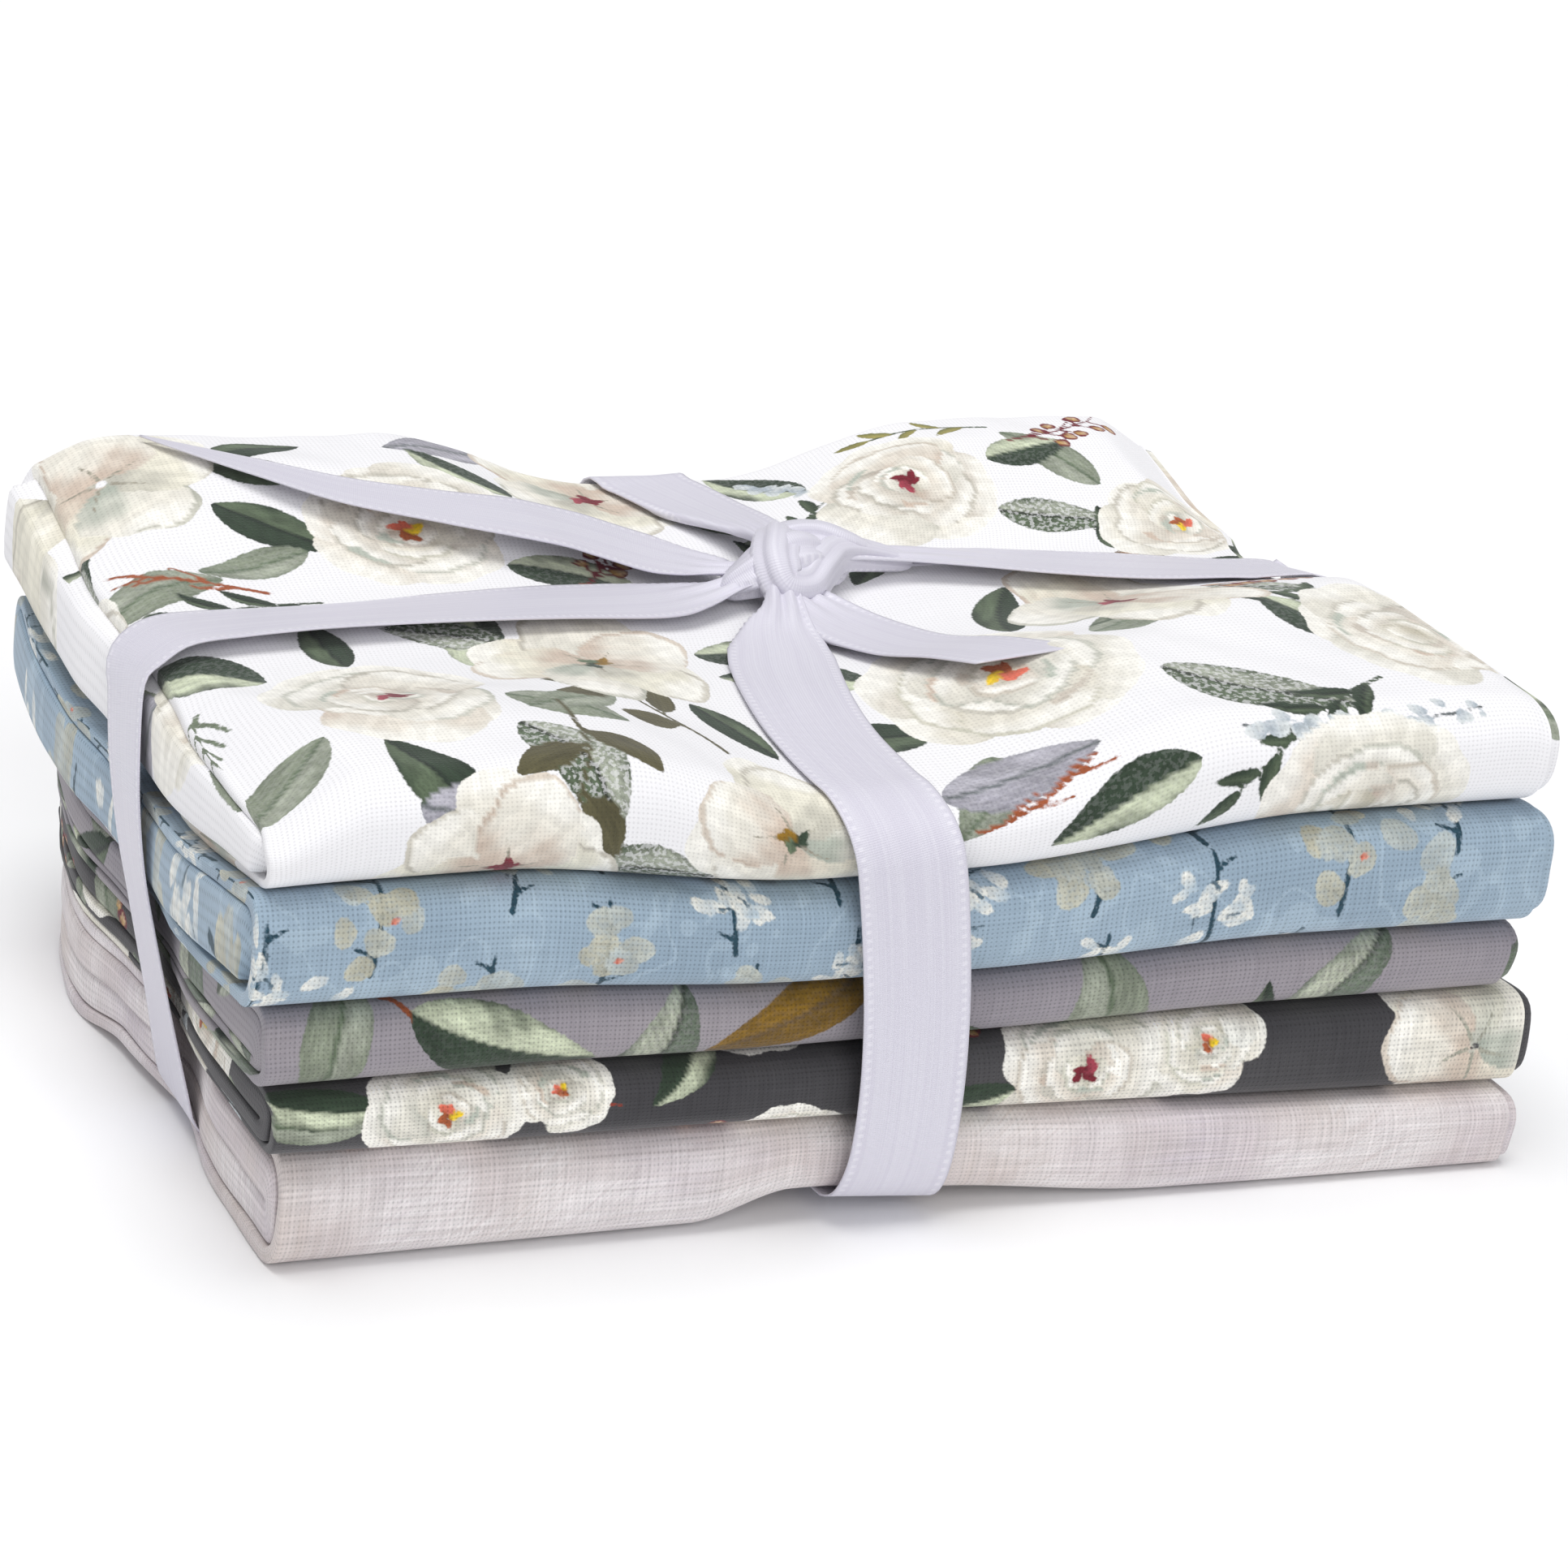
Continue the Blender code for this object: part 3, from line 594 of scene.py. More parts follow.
LEFT_TAIL = (
    (8, 15.4, "top", 5, 3.2, 0.4),
    (2, 19, "top", 3.6, 4.4, 0.3),
    (-3, 22.6, "top", 2.8, 6.2, 0.12),
    (-9.5, 26, "top", 2.4, 7.4, 0, -2),
    (-17.8, 28.2, "top", 2.4, 7.5, 0, -4),
    (-26, 29.2, "top", 2.5, 7.3, 0, -4),
    (-36.8, 31.2, "top", 2.2, 6, 0, -4),
    (-50.5, 34.6, "top", 1.9, 4.6, 0, -4),
    (-61.9, 40.4, "top", 1.4, 2.9, 0, -2),
    (-70.5, 48.4, "top", 0.9, 1.2),
    (-74.6, 53.2, "top", 0.6, 0.1),
)
RIGHT_TAIL = (
    (7, 16, "top", 4, 3.2, 0.4),
    (9.6, 9.6, "top", 2.8, 5, 0.25),
    (12.6, 2, "top", 1.4, 7, 0.08),
    (16.4, -8, "top", 0.8),
    (20.6, -17.6, "top", 0.8),
    (25.2, -26, "top", 0.8),
)
END_SLANT = 0.5            # how slanted the right tail's cut is
SLANT_LENGTH = 14.0
RIPPLE = 0.9               # height of the ribbon's small lengthwise ripples where it is bunched
RIPPLE_WAVES = 11.0        # radians of them over half the width
RIPPLE_DRIFT = 0.1         # and radians for each millimetre along
RIPPLE_FOLD = 0.25         # they are whole where this share of the width is folded under

# The knot's bunched strands: x, y and z of their routes and the strand's radius there.
KNOT_STRANDS = (
    ((12, 27, 63.2, 1.8), (10.4, 23.6, 65.6, 2.8), (8, 18.8, 66.6, 3.3), (6, 14.4, 65.2, 3.4),
     (6.6, 11.8, 62.9, 3.1), (10.2, 12.2, 62.6, 2.8), (13.6, 15.2, 64.2, 2.8), (17.6, 18.6, 64.9, 2.6),
     (24, 20.2, 63.8, 2.1), (31, 20.6, 62.4, 1.2)),
    ((6, 22, 61, 1.6), (10.6, 23.4, 65, 2.8), (15.4, 22.4, 66.2, 2.9), (19.6, 20.4, 65.4, 2.6),
     (25, 20.6, 63.6, 1.4)),
    ((-2, 15, 61.2, 1.6), (3.4, 15.6, 63.2, 3.4), (9.8, 17.6, 64.6, 4.9), (15, 18.6, 63.2, 3.4),
     (20, 19.6, 61.6, 1.4)),
)
STRAND_STEP = 0.5
STRAND_SIDES = 40
STRAND_FLAT = 0.86         # a strand's height, as a share of its width
STRAND_TIP = 2.5           # its ends are rounded over this length
STRAND_TWIST = 0.05        # how fast its lengthwise folds turn round it


def smooth_route(rows, step):
    """Rows of numbers on a smooth curve through the given rows, a step apart."""
    rows = np.array(rows, float)
    padded = np.vstack([2 * rows[0] - rows[1], rows, 2 * rows[-1] - rows[-2]])
    fine = []
    for a, b, c, d in zip(padded, padded[1:], padded[2:], padded[3:]):
        t = np.linspace(0.0, 1.0, 40, endpoint=False)[:, None]
        fine.append(0.5 * (2 * b + (c - a) * t + (2 * a - 5 * b + 4 * c - d) * t ** 2
                           + (3 * b - a - 3 * c + d) * t ** 3))
    fine = np.vstack([*fine, rows[-1:]])
    run = np.concatenate([[0.0], np.cumsum(np.linalg.norm(np.diff(fine[:, :3], axis=0), axis=1))])
    stops = np.linspace(0.0, run[-1], max(8, round(run[-1] / step)))
    return np.stack([np.interp(stops, run, column) for column in fine.T], axis=-1), stops


def unit(vectors):
    return vectors / np.linalg.norm(vectors, axis=-1, keepdims=True)


def ribbon_rows(table):
    """Rows of x, y, z, half width, fold and tilt, with heights above the surface resolved."""
    rows = []
    for x, y, base, height, *form in table:
        if base in BASES:
            height += float(surface_height(BASES[base], *unplan(x, y)))
        rows.append((x, y, height, *form, *FLAT[len(form):]))
    return rows


def folded_across(shares, half, fold):
    """Place across a ribbon and height of its cross section. A share fold of the width, on the side where
    shares are low, is turned under the rest."""
    crease = 2.0 * fold * (1.0 + FOLD_HALF) - 1.0 - FOLD_HALF
    turn = FOLD_TURN * math.pi * smooth_step((crease + FOLD_HALF - shares) / (2.0 * FOLD_HALF))
    step = np.diff(shares, axis=1) * half
    middle = (turn[:, 1:] + turn[:, :-1]) / 2
    zero = np.zeros((len(half), 1))
    out = np.concatenate([zero, np.cumsum(np.cos(middle) * step, axis=1)], axis=1)
    rise = np.concatenate([zero, np.cumsum(np.sin(middle) * step, axis=1)], axis=1)
    out -= (out.max(1, keepdims=True) + out.min(1, keepdims=True)) / 2
    return out, rise - rise.max(1, keepdims=True)


def ribbon_stretch(table, upright, slant=0.0):
    """Grid of points of one stretch of ribbon, and the length along it of each row."""
    route, run = smooth_route(ribbon_rows(table), RIBBON_STEP)
    centre, half, fold, tilt = route[:, :3], route[:, 3:4], route[:, 4:5], np.radians(route[:, 5:6])
    heading = unit(np.gradient(centre, axis=0))
    across = np.cross(np.array(upright, float), heading) if upright[2] else np.array(upright, float)
    across = unit(across - np.sum(across * heading, axis=1, keepdims=True) * heading)
    out = unit(np.cross(heading, across))
    across, out = np.cos(tilt) * across + np.sin(tilt) * out, np.cos(tilt) * out - np.sin(tilt) * across
    shares = np.tile(np.linspace(-1.0, 1.0, RIBBON_COLUMNS), (len(centre), 1))
    place, rise = folded_across(shares, half, fold)
    bunched = np.clip(1.0 - 2.0 * half / RIBBON_WIDTH, 0.0, 1.0)
    ripple = RIPPLE * bunched * smooth_step(fold / RIPPLE_FOLD)
    ripple = ripple * np.cos(RIPPLE_WAVES * shares + RIPPLE_DRIFT * run[:, None])
    grid = centre[:, None] + across[:, None] * place[..., None] + out[:, None] * (rise + ripple)[..., None]
    last = smooth_step((run - run[-1] + SLANT_LENGTH) / SLANT_LENGTH)[:, None] * slant * RIBBON_WIDTH / 2
    grid += heading[:, None] * (last * shares)[..., None]
    return grid, run


def knot_strand(table):
    """Grid of points round a bunched strand, with soft lengthwise folds."""
    route, run = smooth_route(table, STRAND_STEP)
    centre, radius = route[:, :3], route[:, 3]
    ends = np.clip(np.minimum(run, run[-1] - run) / STRAND_TIP, 0.0, 1.0)
    radius = radius * np.sqrt(ends * (2.0 - ends) + 1e-4)
    heading = unit(np.gradient(centre, axis=0))
    across = unit(np.cross(heading, (0.0, 0.0, 1.0)) + 1e-6)
    for k in range(1, len(across)):
        turned = across[k - 1] - np.dot(across[k - 1], heading[k]) * heading[k]
        across[k] = turned / np.linalg.norm(turned)
    out = np.cross(heading, across)
    angle = np.linspace(0.0, 2 * math.pi, STRAND_SIDES, endpoint=False)[None, :]
    twist = STRAND_TWIST * run[:, None]
    folds = (1.0 + 0.085 * np.cos(5 * angle + twist + 0.6) + 0.05 * np.cos(9 * angle - 2 * twist)
             + 0.03 * np.cos(14 * angle + 3 * twist))
    wide = radius[:, None] * folds
    return (centre[:, None] + across[:, None] * (wide * np.cos(angle))[..., None]
            + out[:, None] * (STRAND_FLAT * wide * np.sin(angle))[..., None]), run


def make_ribbon():
    """All stretches and strands joined in one mesh, with a row of its flat map for every UV_ROW of ribbon."""
    stretches = [ribbon_stretch(ACROSS_LOOP, (1, 0, 0)), ribbon_stretch(ALONG_LOOP, (0, -1, 0)),
                 ribbon_stretch(LEFT_TAIL, (0, 0, 1)), ribbon_stretch(RIGHT_TAIL, (0, 0, 1), END_SLANT)]
    strands = [knot_strand(table) for table in KNOT_STRANDS]
    points, faces, flat, first_row = [], [], [], 0
    for k, (grid, run) in enumerate(stretches + strands):
        closed = k >= len(stretches)
        start = sum(len(p) for p in points)
        rows, columns = grid.shape[:2]
        points.append(grid.reshape(-1, 3))
        spans = columns if closed else columns - 1
        i, j = np.meshgrid(np.arange(rows - 1), np.arange(spans), indexing="ij")
        i, j = i.ravel(), j.ravel()
        here, ahead = i * columns + j, i * columns + (j + 1) % columns
        faces.append(np.stack([here, ahead, ahead + columns, here + columns]).T + start)
        row = np.floor((run[i] + run[i + 1]) / 2 / UV_ROW)
        u = np.stack([run[i], run[i], run[i + 1], run[i + 1]]) - row * UV_ROW
        v = np.stack([j, j + 1, j + 1, j]) / spans
        flat.append(np.stack([u / UV_ROW, (first_row + row + v) / UV_ROWS], axis=-1).transpose(1, 0, 2))
        first_row += math.ceil(run[-1] / UV_ROW)
    flat_map = np.clip(np.vstack(flat), 0.0, 1.0)
    thing = make_mesh("ribbon_satin", np.vstack(points), np.vstack(faces).tolist(), flat_map)
    thick = thing.modifiers.new("thickness", "SOLIDIFY")
    thick.thickness, thick.offset = RIBBON_THICK * MM, -1.0
    return thing


# --- Prints ---
# The prints are painted on the flat cloths: motifs are laid over the vertices as signed distances to
# their outlines, in millimetres, with a colour and the direction of the brush. The print's own plan has
# its X and Y on the stack's u and v on top, and goes on over the folds as the cloth does.
LAYERS = ("foliage", "petals", "details")
FAR = 9.0
BLEED = 1.6                # colours reach this far past an outline
BIN = 8.0                  # vertices are looked up in squares of this size
TOOTH = 1.7                # pitch of a leaf's teeth
PETAL_POWER = 2.3          # how square a petal is, where 2 is an ellipse


def ink(red, green, blue):
    """A colour given as on a screen, 0 to 255, as linear light."""
    return (np.array((red, green, blue)) / 255.0) ** 2.2


IVORY, CREAM, TAUPE = ink(250, 248, 240), ink(237, 233, 221), ink(190, 178, 164)
BLUSH, MIST, STRAW = ink(220, 198, 180), ink(196, 202, 190), ink(234, 230, 204)
PINE, MOSS, SAGE, PALE_SAGE = ink(52, 66, 52), ink(92, 106, 84), ink(134, 142, 124), ink(204, 212, 184)
OLIVE, BARK, OCHRE, RUST = ink(90, 86, 62), ink(104, 84, 56), ink(134, 102, 34), ink(156, 84, 52)
SLATE, LILAC_GREY, FROST = ink(96, 102, 104), ink(158, 156, 166), ink(198, 210, 220)
BURGUNDY, TAN, CORAL, YELLOW = ink(112, 30, 44), ink(186, 146, 84), ink(206, 104, 84), ink(222, 188, 44)
TEAL, CHALK, SAND, SKY = ink(40, 70, 84), ink(240, 240, 232), ink(196, 192, 168), ink(176, 196, 210)

# Leaf styles: the two halves, the midrib, how toothed and how mottled it is.
LEAF_STYLES = {
    "two_tone": (PINE, PALE_SAGE, PINE, 0.22, 0.1),
    "dark": (PINE, MOSS, ink(40, 50, 42), 0.0, 0.0),
    "soft": (SAGE, ink(158, 164, 148), MOSS, 0.12, 0.1),
    "stamp": (MOSS, ink(160, 166, 150), ink(40, 46, 38), 0.2, 0.75),
    "silhouette": (OLIVE, OLIVE, OLIVE, 0.1, 0.0),
    "ochre": (OCHRE, ink(120, 92, 36), BARK, 0.0, 0.1),
    "rusty": (BARK, ink(168, 122, 80), PINE, 0.1, 0.8),
    "grey": (LILAC_GREY, ink(176, 174, 184), SLATE, 0.1, 0.15),
    "sage": (ink(108, 120, 104), ink(190, 196, 176), ink(74, 82, 70), 0.15, 0.35),
    "olive": (ink(128, 126, 74), ink(170, 160, 92), PINE, 0.0, 0.0),
}


class Painting:
    """What is painted on one cloth, held on its vertices."""

    def __init__(self, places, seed):
        self.places = places
        self.random = np.random.default_rng(seed)
        count = len(places)
        spots = np.floor(places / BIN).astype(int)
        order = np.lexsort(spots.T)
        cuts = np.flatnonzero(np.any(np.diff(spots[order], axis=0), axis=1)) + 1
        self.bins = {tuple(spots[group[0]]): group for group in np.split(order, cuts)}
        self.distance = {layer: np.full(count, FAR) for layer in LAYERS}
        self.colour = {layer: np.zeros((count, 3)) for layer in LAYERS}
        self.grain = {layer: np.zeros((count, 3)) for layer in LAYERS}

    def between(self, low, high):
        return self.random.uniform(low, high)

    def window(self, middle, reach, turn):
        """Vertices near a motif, with their places along and across its direction."""
        low, high = (np.floor((np.array(middle) + side * reach) / BIN).astype(int) for side in (-1, 1))
        found = [self.bins[i, j] for i in range(low[0], high[0] + 1) for j in range(low[1], high[1] + 1)
                 if (i, j) in self.bins]
        near = np.concatenate(found) if found else np.zeros(0, int)
        apart = self.places[near] - middle
        inside = (np.abs(apart) < reach).all(axis=1)
        near, apart = near[inside], apart[inside]
        along = apart[:, 0] * math.cos(turn) + apart[:, 1] * math.sin(turn)
        across = apart[:, 1] * math.cos(turn) - apart[:, 0] * math.sin(turn)
        return near, along, across

    def lay(self, layer, near, distance, colour, along, across, mottle=0.0):
        held = self.distance[layer][near]
        shown = (distance < 0.0) | ((distance < held) & (distance < BLEED))
        chosen = near[shown]
        self.colour[layer][chosen] = np.broadcast_to(colour, (len(near), 3))[shown]
        self.grain[layer][chosen] = np.stack([along, across, mottle + 0.0 * along], axis=-1)[shown]
        self.distance[layer][near] = np.minimum(held, distance)


def tone(dark, light, share):
    """A colour for each vertex, by its share of the lighter one."""
    return dark + (light - dark) * np.asarray(share)[:, None]


def heading_of(turn):
    return np.array((math.cos(turn), math.sin(turn)))


def paint_leaf(art, base, turn, length, half, style, bend=0.0, layer="foliage"):
    """A pointed leaf from its base, with a midrib, side veins and a darker and a lighter half."""
    dark, light, rib, teeth, mottle = LEAF_STYLES[style]
    near, along, across = art.window(np.array(base) + heading_of(turn) * length / 2, 0.75 * length + 2, turn)
    along = along + length / 2
    share = along / length
    inside = np.clip(share, 0.0, 1.0)
    across = across - bend * length * inside * (1.0 - inside)
    profile = half * np.sin(math.pi * inside ** 0.8) ** 0.8
    profile = profile + teeth * (np.mod(along + 0.4 * np.abs(across), TOOTH) / TOOTH - 0.5) * (profile > 1.0)
    beyond = np.maximum(0.0, np.maximum(-along, along - length))
    distance = np.where(beyond > 0, np.hypot(beyond, across), 0.85 * (np.abs(across) - profile))
    blotch = 0.5 + 0.5 * wander(7.0 * along, 9.0 * across, art.between(0, 6))
    patch = smooth_step(0.5 + across / 0.9)
    patch = patch * smooth_step(1.5 - np.abs(across) / half * 1.2 + 0.8 * (blotch - 0.5))
    colour = tone(dark, light, patch) * (0.84 + 0.34 * blotch)[:, None]
    veins = np.cos(2 * math.pi * (along - 1.1 * np.abs(across)) / max(2.4, length / 8)) ** 6
    share = (0.55 + 0.4 * (mottle > 0.3)) * veins * (half > 2.5)
    colour = tone(colour, colour * 0.62 + rib * 0.2, share)
    colour = tone(colour, rib * np.ones_like(colour), smooth_step(1.5 - np.abs(across) / 0.35) * (half > 1.2))
    rim = smooth_step(1.0 + distance / 0.7)
    colour = tone(colour, 0.55 * colour + 0.45 * rib, 0.6 * rim)
    art.lay(layer, near, distance, colour, along, across, mottle)


def paint_stroke(art, points, half, colour, layer="foliage", taper=0.4):
    """A brush line through points, thinner at its end."""
    points = np.array(points, float)
    middle, reach = (points.min(0) + points.max(0)) / 2, np.ptp(points, axis=0).max() / 2 + 2.5
    near, x, y = art.window(middle, reach, 0.0)
    spot = np.stack([x, y], axis=-1) + middle
    distance = np.full(len(near), FAR)
    run = 0.0
    total = np.linalg.norm(np.diff(points, axis=0), axis=1).sum()
    for start, end in zip(points, points[1:]):
        step = end - start
        size = max(np.hypot(*step), 1e-6)
        t = np.clip((spot - start) @ step / size ** 2, 0.0, 1.0)
        apart = np.hypot(*(spot - start - t[:, None] * step).T)
        distance = np.minimum(distance, apart - half * (1.0 - taper * (run + t * size) / total))
        run += size
    art.lay(layer, near, distance, colour, x, y)


def curved(base, turn, length, bend, count=7):
    """Points along an arc that starts at base in the direction of turn."""
    points, heading = [np.array(base, float)], turn
    for _ in range(count - 1):
        points.append(points[-1] + heading_of(heading) * length / (count - 1))
        heading += bend / (count - 1)
    return points


def paint_stem(art, base, turn, length, bend, count, half, colour, taper=0.3):
    """A curved stem. Gives the points along it, where its leaves or flowers start."""
    stem = curved(base, turn, length, bend, count)
    paint_stroke(art, stem, half, colour, taper=taper)
    return stem


def paint_dab(art, middle, turn, long, wide, dark, light, layer="petals", mottle=0.0):
    """An oval brush mark, lighter at its far end."""
    near, along, across = art.window(np.array(middle), 1.3 * max(long, wide) + 1.5, turn)
    reach = np.hypot(along / long, across / wide)
    ripple = 1.0 + 0.07 * np.sin(3.0 * np.arctan2(across, along) + middle[0] + middle[1])
    distance = (reach - ripple) * min(long, wide)
    colour = tone(dark, light, smooth_step(0.5 + 0.6 * along / long))
    art.lay(layer, near, distance, colour, along, across, mottle)


def paint_petal(art, middle, turn, size, colours, swirl):
    """A petal whose rim is light and whose foot, at its inner end, is shaded."""
    long, wide = size
    foot, body, rim = colours
    near, along, across = art.window(np.array(middle), 1.3 * max(long, wide) + 1.5, turn)
    along = along + 0.10 * across ** 2 / wide
    reach = (np.abs(along / long) ** PETAL_POWER + np.abs(across / wide) ** PETAL_POWER) ** (1 / PETAL_POWER)
    angle = np.arctan2(across, along)
    ripple = 1.0 + 0.05 * np.sin(3.0 * angle + swirl) + 0.03 * np.sin(7.0 * angle + 2.0 * swirl)
    distance = (reach - ripple) * min(long, wide)
    height = along / long
    cloudy = wander(9.0 * across, 6.0 * along, swirl)
    colour = tone(foot, body, smooth_step(0.75 + 0.75 * height + 0.35 * cloudy))
    colour = tone(colour, rim * np.ones_like(colour), 0.9 * smooth_step(2.2 * height - 0.7 + 0.4 * cloudy))
    edge = smooth_step(1.0 + distance / 0.8) * smooth_step(0.7 - 0.6 * height)
    colour = tone(colour, 0.7 * colour + 0.3 * foot * 0.8, 0.6 * edge)
    art.lay("petals", near, distance, colour, along, across)


# Rings of petals: distance from the flower's middle, how many petals, and their half length and half width.
# All but the number are shares of its radius.
ROSE_RINGS = (
    (0.55, 5, 0.47, 0.58),
    (0.36, 4, 0.38, 0.50),
    (0.20, 3, 0.27, 0.36),
    (0.07, 2, 0.15, 0.21),
)
BLOSSOM_RINGS = ((0.58, 4, 0.42, 0.40), (0.48, 5, 0.46, 0.44))
HEARTS = {"wine": (BURGUNDY, ink(150, 60, 74), BURGUNDY), "gold": (YELLOW, CORAL, RUST),
          "green": (MOSS, PINE, OCHRE)}


def paint_rose(art, middle, radius, turn, heart, shade=TAUPE):
    """A full rose of rings of petals, the outer ones first, with arcs of shade in its cup."""
    middle = np.array(middle, float)
    feet = (shade, mix(shade, MIST, 0.6), mix(shade, BLUSH, 0.7), mix(shade, STRAW, 0.5))
    for k, (out, count, long, wide) in enumerate(ROSE_RINGS):
        for petal in art.random.permutation(count):
            angle = turn + 0.7 * k + 2 * math.pi * (petal + 0.35 * art.between(-1, 1)) / count
            spread = art.between(0.8, 1.16)
            foot = feet[int(art.random.integers(4))] * (1.0 - 0.06 * k)
            body = mix(CREAM, foot, art.between(0.05, 0.4))
            spot = middle + heading_of(angle) * out * radius * spread
            size = long * radius, wide * radius * spread
            if k:
                behind = mix(foot, MIST, 0.4)
                aside = 0.05 * radius * heading_of(angle + art.between(-0.9, 0.9))
                shades = behind, behind, mix(behind, body, 0.3)
                paint_petal(art, spot + aside, angle, size, shades, 5 * spread)
            paint_petal(art, spot, angle, size, (foot, body, IVORY), 5 * spread)
    for k in range(6):
        angle, out = art.between(0, 2 * math.pi), radius * (0.22 + 0.08 * k)
        sweep = art.between(0.5, 1.0)
        aside = middle + 0.08 * radius * heading_of(2.3 * k + turn)
        arc = [aside + out * heading_of(angle + sweep * t) * (1.0, 0.9) for t in np.linspace(0, 1, 7)]
        colour = (mix(shade, CREAM, 0.3), mix(MIST, MOSS, 0.15), IVORY, mix(shade, BLUSH, 0.6))[k % 4]
        paint_stroke(art, arc, radius * art.between(0.035, 0.06), colour, "petals", 0.8)
    paint_heart(art, middle, radius, turn, heart)


def paint_blossom(art, middle, radius, turn, heart, shade=TAUPE):
    """An open flower of five broad petals over four more behind them."""
    middle = np.array(middle, float)
    for ring, (out, count, long, wide) in enumerate(BLOSSOM_RINGS):
        for petal in range(count):
            angle = turn + 0.6 * ring + 2 * math.pi * (petal + 0.15 * art.between(-1, 1)) / count
            spread = art.between(0.9, 1.12)
            foot = (mix(shade, MIST, 0.5), mix(shade, BLUSH, 0.6), mix(MIST, MOSS, 0.25))[petal % 3]
            spot = middle + heading_of(angle) * out * radius * spread
            body = mix(CREAM, STRAW, 0.4 * (petal % 2))
            size = long * radius * spread, wide * radius
            if ring:
                behind = mix(foot, TAUPE, 0.3)
                aside = 0.06 * radius * heading_of(angle + 0.5)
                shades = behind, behind, mix(behind, CREAM, 0.4)
                paint_petal(art, spot + aside, angle, size, shades, 7 * spread)
            paint_petal(art, spot, angle, size, (foot, body, IVORY), 7 * spread)
    for k in range(5):
        angle = turn + 0.9 + 2 * math.pi * k / 5
        start = middle + heading_of(angle) * 0.08 * radius
        vein = curved(start, angle, 0.34 * radius, 0.4, 4)
        paint_stroke(art, vein, 0.32, mix(shade, MOSS, 0.4), "details", 0.6)
    paint_heart(art, middle, radius, turn, heart)


def paint_heart(art, middle, radius, turn, heart):
    """The dabs in the middle of a flower."""
    if heart is None:
        return
    long, wide = 0.085 * radius, 0.035 * radius + 0.12
    for k in range(6):
        angle = turn + 2.4 * k
        spot = middle + heading_of(angle) * radius * 0.05 * math.sqrt(k + 0.3)
        colour = HEARTS[heart][k % 3]
        paint_dab(art, spot, angle + 0.5, long, wide, colour, colour * 1.2, "details")


def paint_sprig(art, base, turn, length, leaf, style, bend, pairs=4):
    """A thin stem with narrow leaves to both sides."""
    stem = paint_stem(art, base, turn, length, bend, 2 * pairs + 2, 0.36, mix(PINE, MOSS, 0.4))
    for k in range(1, 2 * pairs + 1):
        heading = turn + bend * k / (2 * pairs + 1)
        side = 1 if k % 2 else -1
        size = leaf * (1.0 - 0.35 * k / (2 * pairs + 1)) * art.between(0.85, 1.15)
        paint_leaf(art, stem[k], heading + side * art.between(0.55, 0.9), size, 0.155 * size, style,
                   bend=-0.3 * side)
    paint_leaf(art, stem[-1], turn + bend, 0.8 * leaf, 0.12 * leaf, style)


def paint_branch(art, base, turn, length, style, bend):
    """A stem with a few broad leaves, one at its end."""
    colour = LEAF_STYLES[style][2]
    stem = paint_stem(art, base, turn, length, bend, 7, 0.42, colour)
    for k, side in ((2, 1), (3, -1), (5, 1)):
        heading = turn + bend * k / 7 + side * 0.85
        size = length * art.between(0.36, 0.46)
        start = stem[k] + heading_of(heading) * 1.2
        paint_stroke(art, (stem[k], start + heading_of(heading)), 0.4, colour, taper=0.0)
        paint_leaf(art, start, heading, size, 0.27 * size, style, bend=0.25 * side)
    paint_leaf(art, stem[-1], turn + bend, 0.42 * length, 0.1 * length, style)


def paint_twig(art, base, turn, length, colour=RUST):
    """A fine twig that forks."""
    stem = paint_stem(art, base, turn, length, 0.25, 6, 0.42, colour, 0.35)
    for k, side in ((1, 1), (2, -1), (3, 1), (4, -1)):
        paint_stroke(art, curved(stem[k], turn + side * 0.5, 0.3 * length, -0.5 * side, 4), 0.36, colour)


def paint_fern(art, base, turn, length, colour):
    """A stem with fine curved strokes in pairs."""
    stem = paint_stem(art, base, turn, length, 0.3, 9, 0.42, colour, 0.4)
    for k in (1, 3, 5, 7):
        for side in (-1, 1):
            frond = curved(stem[k], turn + side * 0.9, 0.5 * length * (1.0 - 0.08 * k), -0.6 * side, 3)
            paint_stroke(art, frond, 0.42, colour, taper=0.3)


def paint_berries(art, base, turn, length):
    """A stem with a small berry on each of its stalks."""
    stem = paint_stem(art, base, turn, length, 0.3, 6, 0.34, BURGUNDY, 0.2)
    for k in range(1, 6):
        for side in (-1, 1):
            heading = turn + side * art.between(0.4, 1.0)
            reach = length * art.between(0.18, 0.34)
            tip = stem[k] + heading_of(heading) * reach
            paint_stroke(art, (stem[k], tip), 0.3, BURGUNDY, taper=0.2)
            size = art.between(0.85, 1.25)
            paint_dab(art, tip, heading, size + 0.3, size + 0.3, BURGUNDY, BURGUNDY, "foliage")
            paint_dab(art, tip, heading, size - 0.2, size - 0.2, TAN, mix(TAN, BLUSH, 0.5), "foliage")


def paint_spray(art, base, turn, length, bend, pale=FROST, stem_colour=SLATE):
    """A stem hung with small pale bells."""
    stem = paint_stem(art, base, turn, length, bend, 10, 0.34, stem_colour)
    for k in range(1, 10):
        for _ in range(3):
            heading = art.between(0, 2 * math.pi)
            spot = stem[k] + heading_of(heading) * art.between(0.6, 0.085 * length)
            size = art.between(0.9, 1.9) * (1.0 - 0.04 * k)
            paint_dab(art, spot, heading, size, 0.72 * size, mix(pale, SLATE, 0.25), mix(pale, CHALK, 0.5),
                      "petals", 0.3)


